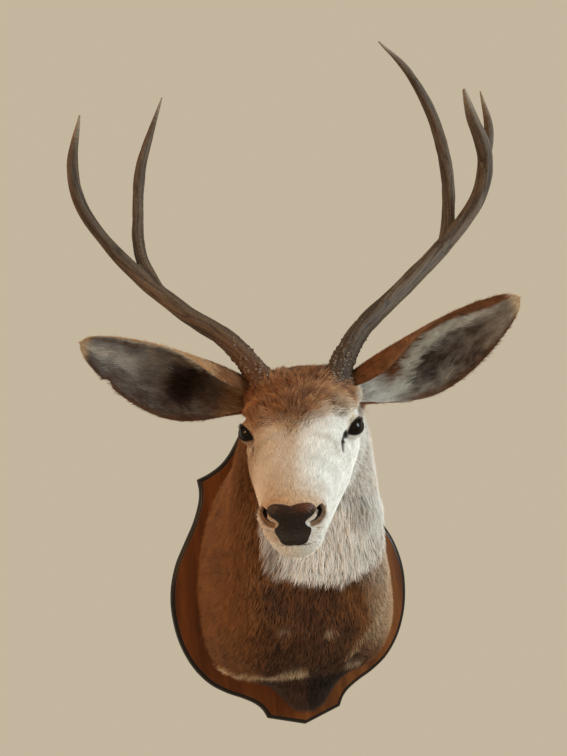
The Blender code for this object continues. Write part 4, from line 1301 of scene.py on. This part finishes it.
def inset_outline(points, by):
    one = unit(points - np.roll(points, 1, 0))
    two = unit(np.roll(points, -1, 0) - points)
    inward = unit(np.stack((-(one + two)[:, 1], (one + two)[:, 0]), 1))
    slant = (inward * np.stack((-one[:, 1], one[:, 0]), 1)).sum(1)
    moved = points + inward * (by / slant)[:, None]
    # points that a corner swallows would cross over, so they are spread between the good ones
    gap, _ = line_distance(moved, np.vstack((points, points[:1])))
    good = np.nonzero(gap > 0.97 * by - 1e-9)[0]
    at = np.arange(len(moved))
    return np.stack([np.interp(at, good, moved[good, k], period=len(moved)) for k in (0, 1)], 1)


outline = plaque_outline()
layers = [np.insert(inset_outline(outline, inset), 1, -depth, axis=1) for depth, inset in OGEE]
mesh = bpy.data.meshes.new("plaque")
faces = grid_faces(len(layers), len(outline)).tolist()
faces += [list(range(len(outline))), [(len(layers) - 1) * len(outline) + k for k in range(len(outline))]]
mesh.from_pydata(np.concatenate(layers).tolist(), [], faces)
plaque = object_of("plaque", mesh)
shape = bmesh.new()
shape.from_mesh(mesh)
bmesh.ops.remove_doubles(shape, verts=shape.verts, dist=1e-6)
bmesh.ops.recalc_face_normals(shape, faces=shape.faces)
bmesh.ops.triangulate(shape, faces=[f for f in shape.faces if len(f.verts) > 4])
shape.to_mesh(mesh)
shape.free()
only(plaque)
bpy.ops.object.shade_smooth_by_angle(angle=math.radians(28))


def wood(name, dark, mid, light, roughness):
    made, add, wire, shader = node_material(name)
    set_inputs(shader, {"Specular IOR Level": 0.20})
    place = add("TexCoord")
    stretch = add("Mapping", {"Scale": (34, 34, 1.6)})
    grain = add("TexNoise", {"Scale": 1.0, "Detail": 7, "Distortion": 0.35})
    pores = add("Mapping", {"Scale": (900, 900, 26)})
    pore = add("TexNoise", {"Scale": 1.0, "Detail": 2})
    ramp = add("ValToRGB")
    colour_ramp(ramp, (0.30, dark), (0.5, mid), last=(0.72, light))
    fleck = add("MapRange", {"From Min": 0.30, "From Max": 0.48, "To Min": 0.62})
    tint = add("Mix", {"Factor": 1.0}, **MULTIPLY)
    bump = add("Bump", {"Strength": 0.25, "Distance": 0.0004})
    gloss = add("MapRange", {"To Min": roughness - 0.06, "To Max": roughness + 0.10})
    wire((place, "Object", stretch, "Vector"), (place, "Object", pores, "Vector"),
         (stretch, "Vector", grain, "Vector"), (pores, "Vector", pore, "Vector"), (grain, "Fac", ramp, "Fac"),
         (pore, "Fac", fleck, "Value"), (ramp, "Color", tint, "A"), (fleck, "Result", tint, "B"),
         (tint, "Result", shader, "Base Color"), (pore, "Fac", bump, "Height"),
         (bump, "Normal", shader, "Normal"), (grain, "Fac", gloss, "Value"),
         (gloss, "Result", shader, "Roughness"))
    return made


WOODS = (
    ("plaque_face", (0.058, 0.015, 0.002), (0.135, 0.038, 0.005), (0.205, 0.066, 0.011), 0.46),
    ("plaque_edge", (0.006, 0.004, 0.003), (0.012, 0.008, 0.006), (0.024, 0.015, 0.010), 0.30),
)
for stain in WOODS:
    plaque.data.materials.append(wood(*stain))
for face in plaque.data.polygons:
    face.material_index = 0 if face.center.y < -BOARD_FACE + 0.0004 else 1
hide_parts("plaque_board")
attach(plaque, "root")


# ---- coat -------------------------------------------------------------------------------------
# Tufts of hair over the skin, each a thin tapering spike or lock that is closed and lies along
# the body the way the hair runs: short and flat on the face, long and waved on brow and throat.
coat_paint, add, wire, shader = node_material("hair")
set_inputs(shader, {"Specular IOR Level": 0.24})
reader = add("Attribute", attribute_name="tone")
place = add("TexCoord")
strands = add("TexNoise", {"Scale": 380, "Detail": 2})
shading = add("MapRange", {"To Min": 0.75, "To Max": 1.25})
tint = add("Mix", {"Factor": 1.0}, **MULTIPLY)
gloss = add("MapRange", {"To Min": 0.45, "To Max": 0.70})
bump = add("Bump", {"Strength": 0.2, "Distance": 0.0003})
wire((place, "Object", strands, "Vector"), (strands, "Fac", shading, "Value"), (reader, "Color", tint, "A"),
     (shading, "Result", tint, "B"), (tint, "Result", shader, "Base Color"), (strands, "Fac", gloss, "Value"),
     (gloss, "Result", shader, "Roughness"), (strands, "Fac", bump, "Height"),
     (bump, "Normal", shader, "Normal"))

on_hide = skin_row[:, 8] < 0.5
lateral, forward, up = np.abs(skin_local[:, 0]), skin_local[:, 1], skin_local[:, 2]
side_way = np.sign(skin_local[:, :1]) * HEAD_PLACE[:3, 0]
station = skin_row[:, 7] * LAST_STATION


def combed():
    """The way that the hair lies at each point of the skin."""
    along = skin_way.copy()
    across = np.cross(skin_n, along)
    # it parts down the middle of the brow, and sweeps out and back over the eyes
    parting = smooth((lateral - 0.002) / 0.016) * smooth((forward + 0.070) / 0.05)
    parting *= smooth((0.085 - forward) / 0.03)
    parting *= on_hide & (up > 0.010)
    brow = smooth((forward - 0.020) / 0.030) * smooth((lateral - 0.012) / 0.020)
    along += ((parting * (0.75 + 0.9 * brow))[:, None] * side_way
              + (0.9 * parting * brow)[:, None] * HEAD_PLACE[:3, 1])
    # it turns away from the eyes
    eye = folded(skin_local) - EYE_PLACE
    away = unit(eye) * mirror_of(skin_local) @ HEAD_PLACE[:3, :3].T
    along += (1.5 * smooth((0.026 - np.linalg.norm(eye, axis=1)) / 0.012))[:, None] * away
    # round the whorls on the chest it turns like water, and from the armpit it spreads
    for whorl in WHORLS:
        off = skin_v - whorl
        near = smooth((0.018 - np.linalg.norm(off, axis=1)) / 0.016)
        along += near[:, None] * (0.7 * unit(off) + 1.1 * unit(np.cross(skin_n, off)))
    off = skin_v - ARMPIT[0] - (0, 0, 0.014)
    along += (1.1 * smooth((0.040 - np.linalg.norm(off, axis=1)) / 0.02))[:, None] * unit(off)
    # at an ear's edges it leans out past the rim
    edge = skin_row[:, 6] * 2 % 1
    lean = smooth((edge - 0.86) / 0.12) - smooth((0.14 - edge) / 0.12)
    lean *= np.where(skin_row[:, 6] < 0.5, 1.0, -1.0)
    for part, name in enumerate(EARS, 1):
        rise = ear_frame(name)[3]
        along += (0.55 * lean * (skin_row[:, 8] == part))[:, None] * rise
    swirl = 0.22 * noise(skin_v, 0.030, 41) + 0.12 * noise(skin_v, 0.011, 42)
    along += across * (swirl * np.where(on_hide, 1.0, 1.6))[:, None]
    return unit(along - skin_n * (along * skin_n).sum(1, keepdims=True))


skin_way = combed()
SOFT_LEAN = 0.55                    # how far a tuft's two lower edges turn from the skin's slope
PATCH = 0.003                       # side of each tuft's place on its flat map


def spike_mesh(name, rings_made, sides, tones, charts):
    """One mesh of many closed three-sided spikes, from rings of three points and their tips."""
    count, rings = len(rings_made[0]), (len(rings_made) - 1) // 3
    each = len(rings_made)
    tris = [(0, 1, 2)]
    for k in range(rings - 1):
        for i in range(3):
            a, b = 3 * k + i, 3 * k + (i + 1) % 3
            tris += [(a, a + 3, b), (b, a + 3, b + 3)]
    last = 3 * (rings - 1)
    tris += [(last + i, each - 1, last + (i + 1) % 3) for i in range(3)]
    beneath = np.array([all(v % 3 < 2 or v == each - 1 for v in tri) for tri in tris])
    beneath[0] = True
    tris = (np.arange(count)[:, None, None] * each + np.array(tris)[None]).reshape(-1, 3)
    steps = np.array([k / rings for k in range(rings) for _ in range(3)] + [1.0])
    low, high = charts.min(0), charts.max(0)
    charts = PATCH + (1 - 2 * PATCH) * (charts - low) / (high - low)
    patch = np.stack((PATCH * np.array([-0.5, 0.5, 0] * rings + [0]), PATCH * steps - PATCH / 2), 1)
    flat_places = (charts[:, None] + patch[None]).reshape(-1, 2)
    mesh = bpy.data.meshes.new(name)
    mesh.vertices.add(count * each)
    mesh.vertices.foreach_set("co", np.stack(rings_made, 1).astype(np.float32).ravel())
    mesh.loops.add(tris.size)
    mesh.loops.foreach_set("vertex_index", tris.astype(np.int32).ravel())
    mesh.polygons.add(len(tris))
    mesh.polygons.foreach_set("loop_start", np.arange(0, tris.size, 3, dtype=np.int32))
    mesh.update(calc_edges=True)
    mesh.shade_smooth()
    # hair is lit softly: its upper faces take most of their slope from the skin beneath them
    soft = [unit(up + lean * across) for across, up in sides[:-1] for lean in (-SOFT_LEAN, SOFT_LEAN, 0.0)]
    soft = np.stack(soft + [sides[-1][1]], 1).reshape(-1, 3)[tris]
    flat = read_rows(mesh.polygons, "normal")[:, None]
    hard = np.tile(beneath, count)[:, None, None] | ((soft * flat).sum(-1, keepdims=True) < 0.05)
    soft = np.where(hard, flat, soft)
    mesh.normals_split_custom_set(soft.reshape(-1, 3))
    hold_colours(mesh, "tone", tones(steps).reshape(-1, 3))
    bake_map = mesh.uv_layers.new(name="OFBake")
    bake_map.uv.foreach_set("vector", flat_places[tris.ravel()].astype(np.float32).ravel())
    mesh.materials.append(coat_paint)
    made = object_of(name, mesh)
    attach(made, "root")


# How near a tuft's tip may come to the eye's opening, the tear slit and the lips.
CLEAR_OF_EYE = 0.0012
CLEAR_OF_SLIT = 0.0070
CLEAR_OF_LIPS = 0.0032
TUFT_SINK = 0.0008                  # how far a tuft's root is sunk in the skin
BOARD_GAP = 0.0008                  # how far from the plaque the hair is bent away
LEADERS = 0.10                      # share of the tufts that others clump round


def scatter(amount, lot, on_bare):
    """Random places on the skin: their faces' corners, the shares of these, and the head's frame.

    amount is tufts for each square metre at each vertex of the skin.
    """
    corners = skin_v[skin_tris]
    area = np.linalg.norm(np.cross(corners[:, 1] - corners[:, 0], corners[:, 2] - corners[:, 0]), axis=1) / 2
    wanted = area * amount[skin_tris].mean(1)
    count = int(wanted.sum())
    picked = np.searchsorted(np.cumsum(wanted), lot.random(count) * wanted.sum()).clip(max=len(area) - 1)
    shares = lot.random((count, 2))
    over = shares.sum(1) > 1
    shares[over] = 1 - shares[over]
    shares = np.concatenate((shares, 1 - shares.sum(1, keepdims=True)), 1)
    at = skin_tris[picked]
    local = (skin_local[at] * shares[..., None]).sum(1)
    kept = (bare_share(local) > 0.5) | on_bare
    return at[kept], shares[kept], local[kept]


def too_near(tips):
    """Whether tips of hair, in the head's frame, lie over the eye, the tear slit or the lips."""
    over = np.zeros(len(tips), bool)
    close = near_eye(tips, 0.050)
    over[close] = lid_distance(tips[close])[0] < CLEAR_OF_EYE
    over |= line_distance(folded(tips), TEAR_SLIT)[0] < CLEAR_OF_SLIT
    close = tips[:, 1] > 0.150
    over[close] |= line_distance(folded(tips[close]), MOUTH)[0] < CLEAR_OF_LIPS
    return over


def bend(root, normal, way, across, sizes, phase, rings):
    """The middle of each ring of the tufts as they follow the skin, and the ways across and up."""
    length, height, wave = sizes
    base = root
    middles, sides = [root - normal * TUFT_SINK], [(across, normal)]
    for k in range(1, rings + 1):
        t = k / rings
        base = base + way * (length / rings)[:, None]
        if rings > 1:
            close = nearest(skin_tree, base)
            normal = skin_n[close]
            base = base - normal * (((base - skin_v[close]) * normal).sum(1))[:, None]
            way = unit(way * 0.45 + skin_way[close] * 0.55 - normal * ((way * normal).sum(1))[:, None])
        across = np.cross(normal, way)
        place = base + normal * (height * (2 * t - t * t))[:, None]
        middles.append(place + across * (wave * t * np.sin(phase + 4.5 * t))[:, None])
        sides.append((across, normal))
    return middles, sides


def gather(middles, root, clump, lot):
    """Draws the tufts together, more and more towards their tips, round a few that lead."""
    chosen = np.nonzero(lot.random(len(root)) < LEADERS)[0]
    leader = chosen[nearest(tree_of(root[chosen]), root)]
    for k in range(1, len(middles)):
        pull = (clump * (k / (len(middles) - 1)) ** 1.3)[:, None]
        drawn_in = middles[k][leader] + 0.25 * (root - root[leader])
        middles[k] = middles[k] * (1 - pull) + pull * drawn_in


def spike_rings(middles, sides, width):
    """Three points round each middle and one at the tip, all kept in front of the plaque."""
    outward = unit(sides[-1][1] * (1, 0, 1))
    spikes = []
    for k, (place, (across, up)) in enumerate(zip(middles, sides)):
        past = np.maximum(place[:, 1] + BOARD_FACE + BOARD_GAP, 0)
        place = place + outward * (0.45 * past)[:, None]
        place[:, 1] -= past
        if k == len(middles) - 1:
            spikes.append(place)
        else:
            half = (width * (0.5 if k else 0.42) * (1 - 0.45 * k / (len(middles) - 1)))[:, None]
            spikes += [place - across * half, place + across * half, place + up * half * 0.8]
    return spikes


def grow(name, amount, style, rings, seed, on_bare=False):
    """Scatters tufts over the skin where amount is above 0 and gives them one style.

    style takes the places, in the head's frame too, and gives sizes, and the colour and share
    of the tips. None grows on the bare places unless on_bare is true.
    """
    lot = np.random.default_rng(seed)
    at, shares, local = scatter(amount, lot, on_bare)

    def read(values):
        return (values[at] * shares[..., None]).sum(1)

    root, normal, way, row = read(skin_v), unit(read(skin_n)), unit(read(skin_way)), skin_row[at[:, 0]]
    count = len(root)
    made = {"wave": 0.0, "clump": 0.0, **style(root, local, row)}
    tip_colour = np.broadcast_to(made.pop("tip"), (count, 3))[:, None]
    length, width, height, wave, scattered, clump, tip_share = (
        np.broadcast_to(made[key], count)
        for key in ("length", "width", "height", "wave", "scatter", "clump", "tip_share"))
    length = length * (0.70 + 0.6 * lot.random(count))
    width = width * (0.70 + 0.6 * lot.random(count))
    height = height * (0.50 + 0.9 * lot.random(count))
    lock = noise(root, 0.014, 11 + seed) + 0.6 * noise(root, 0.006, 12 + seed)
    stray = lock + 0.8 * noise(root, 0.0045, 14 + seed) + 0.5 * lot.standard_normal(count)
    across = np.cross(normal, way)
    way = unit(way + across * (scattered * stray)[:, None])
    length = np.where(too_near(move(root + way * length[:, None], ROW_PLACE)), 0.25 * length, length)

    shade = bare_markings(markings(root, row[:, 6], row[:, 7], row[:, 8]), local)[0]
    dark = 1 - smooth(shade.max(1) / 0.55)
    speckle = (0.12 + 0.58 * dark) * noise(root, 0.0040, 13 + seed)
    speckle = speckle + (0.09 + 0.19 * dark) * lot.standard_normal(count)
    shade = shade * (1 + speckle + (0.10 + 0.15 * dark) * lock).clip(0.40, 2.0)[:, None]
    tip_colour = np.minimum(tip_colour, 0.006 + 3.5 * shade[:, None])
    tip_share = (tip_share * (0.4 + 0.6 * lock + 1.0 * lot.random(count))).clip(0, 1)

    phase = lot.random(count) * 0.8 + 2.5 * noise(root, 0.020, 21)
    middles, sides = bend(root, normal, way, across, (length, height, wave), phase, rings)
    if clump.max() > 0:
        gather(middles, root, clump, lot)

    def tones(steps):
        # painted shade down among the hair: each tuft darker at its root and a little brighter at its tip, as
        # painted light
        root_to_tip_shade = 0.80 + 0.32 * steps
        tip = tip_share[:, None, None] * (steps ** 1.5)[None, :, None]
        return (shade[:, None] * (1 - tip) + tip_colour * tip) * root_to_tip_shade[None, :, None]

    spike_mesh(name, spike_rings(middles, sides, width), sides, tones, row[:, 6:8])


BURRS = [line[0][:3] for line in (RIGHT_BEAM, LEFT_BEAM)]


def root_distance(points):
    """How far points are from the nearer antler's burr and from the nearer ear's root."""
    return (np.minimum(*(apart(points, burr) for burr in BURRS)),
            np.minimum(*(apart(points, EARS[name][0]) for name in EARS)))


def muzzle_style(root, local, row):
    nearness = smooth((local[:, 1] - 0.10) / 0.09)
    return dict(length=0.0080 - 0.0042 * nearness, width=0.00062 - 0.0002 * nearness, height=0.0009,
                scatter=0.16, tip=WHITE, tip_share=0.25)


def cheek_style(root, local, row):
    back = smooth((0.05 - local[:, 1]) / 0.12)
    short = 0.30 + 0.70 * smooth((apart(folded(local), EYE_PLACE) - 0.016) / 0.018)
    by_ear = smooth((0.050 - root_distance(root)[1]) / 0.03)
    length = (0.0085 + 0.0075 * back + 0.006 * by_ear) * short
    height = (0.0012 + 0.0020 * back + 0.0040 * by_ear) * short
    return dict(length=length, width=0.00062 + 0.0003 * back, height=height, scatter=0.18,
                tip=WHITE, tip_share=0.30 + 0.30 * back)


def crown_style(root, local, row):
    low = smooth((local[:, 1] - 0.005) / 0.070)
    by_burr = smooth((0.042 - root_distance(root)[0]) / 0.020)
    height = 0.0085 - 0.0062 * low + 0.0050 * by_burr
    return dict(length=0.021 - 0.010 * low, width=0.00074, height=height, wave=0.0030, scatter=0.30,
                clump=0.30, tip=GOLD * 1.1, tip_share=0.60 - 0.15 * low)


def throat_style(root, local, row):
    low = smooth((0.030 - root[:, 2]) / 0.030)
    return dict(length=0.028 - 0.010 * low, width=0.00070, height=0.0095 - 0.0030 * low, wave=0.0026,
                scatter=0.20, clump=0.50, tip=WHITE, tip_share=0.50)


SIDE_TIPS = np.array((0.40, 0.19, 0.070))


def chest_style(root, local, row):
    side = smooth((np.abs(root[:, 0] - 0.010) - 0.060) / 0.050)
    return dict(length=0.0140, width=0.00084, height=0.0062, wave=0.0014, scatter=0.42,
                clump=0.25 * (1 - side), tip=mix(GINGER * 1.2, SIDE_TIPS, side), tip_share=0.34)


def body_style(root, local, row):
    pale = smooth((root[:, 0] - 0.05) / 0.03) * smooth((root[:, 2] + 0.02) / 0.06)
    return dict(length=0.0135 - 0.003 * pale, width=0.00086, height=0.0056 - 0.0012 * pale,
                scatter=0.34 - 0.14 * pale, tip=mix(SIDE_TIPS, WHITE, pale), tip_share=0.34 + 0.45 * pale)


def ear_style(root, local, row):
    within = row[:, 6] > 0.5
    rim = smooth((np.abs(2 * ((row[:, 6] * 2) % 1) - 1) - 0.6) / 0.35)
    tip = smooth((row[:, 7] - 0.78) / 0.22)
    length = np.where(within, 0.0130 - 0.0060 * rim, 0.0085) * (1 - 0.45 * tip)
    height = np.where(within, 0.0030, 0.0018) * (1 - 0.35 * rim) * (1 - 0.4 * tip)
    return dict(length=length, width=0.00062, height=height, scatter=0.34, tip=EAR_PALE,
                tip_share=np.where(within, 0.22, 0.08))


def fringe_style(root, local, row):
    return dict(length=0.017, width=0.0009, height=0.0080, wave=0.0015, scatter=0.30, clump=0.30,
                tip=CREAM, tip_share=0.50)


def lash_style(root, local, row):
    outer = smooth((0.010 - local[:, 1]) / 0.016)
    return dict(length=0.0030 + 0.0022 * outer, width=0.00036, height=0.0013 + 0.0006 * outer,
                scatter=0.05, tip=NIGHT, tip_share=1.0)


# Where each kind of hair grows: x, y and z are the row frame's.
x, y, z = skin_v.T
crown_line = cap_border(skin_local, noise(skin_v, 0.020, 1))
crown = on_hide & (up > 0.014) & (station < HEAD_COUNT + 0.8)
crown_share = smooth((crown_line - forward) / 0.022) * crown
hollow_under = np.cos(2 * math.pi * skin_row[:, 6]) < 0.15
bib_level = np.interp(x, BIB_ACROSS, BIB_LEVEL, left=0.3, right=0.06)
throat = on_hide & hollow_under & (y < -0.235) & (z > bib_level + 0.014) & (z < 0.105)
throat &= (x > -0.074) & (x < np.minimum(bib_side(z), 0.112)) & (station > HEAD_COUNT - 3)
face = on_hide & (station < HEAD_COUNT + 0.5) & ~throat
body = on_hide & (station >= HEAD_COUNT + 0.5) & ~throat
chest = body & (np.abs(x - 0.010) < 0.110) & hollow_under & (y < -0.110)
thin_out = 1 - 0.8 * crown_share

MUZZLE_EDGE = 0.085
NECK_EDGE = HEAD_COUNT + 5.4
grow("coat_muzzle", 640000 * (face & (forward > MUZZLE_EDGE)) * thin_out, muzzle_style, 1, 1)
grow("coat_cheeks", 400000 * (face & (forward <= MUZZLE_EDGE)) * thin_out, cheek_style, 1, 2)
grow("coat_crown", 600000 * crown_share, crown_style, 2, 3)
grow("coat_throat", 420000 * throat, throat_style, 3, 4)
grow("coat_chest", 240000 * chest, chest_style, 2, 5)
sides = body & ~chest
front_part = sides & (station < NECK_EDGE)
grow("coat_neck", 260000 * front_part, body_style, 1, 6)
grow("coat_shoulder_right", 260000 * (sides & ~front_part & (x < 0)), body_style, 1, 7)
grow("coat_shoulder_left", 260000 * (sides & ~front_part & (x >= 0)), body_style, 1, 8)
for part, name in enumerate(EARS, 1):
    grow(f"coat_{name}", 520000 * (skin_row[:, 8] == part), ear_style, 1, 7 + part)

# Longer hair along the rim of the leg's hide, in the whorls, at the armpit, on the ridge where
# the coat turns pale, and round the roots of the ears.
rim = (np.abs(z - rim_level(x)) < 0.006) & (x < -0.010) & (y < -0.05)
at_whorl = np.min([apart(skin_v, whorl) for whorl in WHORLS], axis=0) < 0.006
at_armpit = line_distance(skin_v, ARMPIT)[0] < 0.009
on_seam = line_distance(skin_v, SEAM)[0] < 0.005
at_ear = root_distance(skin_v)[1] < 0.034
fringe = on_hide & (rim | at_whorl | at_armpit | on_seam | (at_ear & (up > 0.0)))
grow("coat_fringe", 260000 * fringe, fringe_style, 2, 10)

# Short stiff lashes along the upper lids.
eye_gap, eye_flat, eye_depth = lid_distance(skin_local)
upper_lid = (eye_gap > 0.0004) & (eye_gap < 0.0018) & (eye_flat[:, 1] > 0.0015) & (eye_depth > 0)
grow("coat_lashes", 1600000 * (near_eye(skin_local, 0.03) & upper_lid), lash_style, 3, 11, on_bare=True)
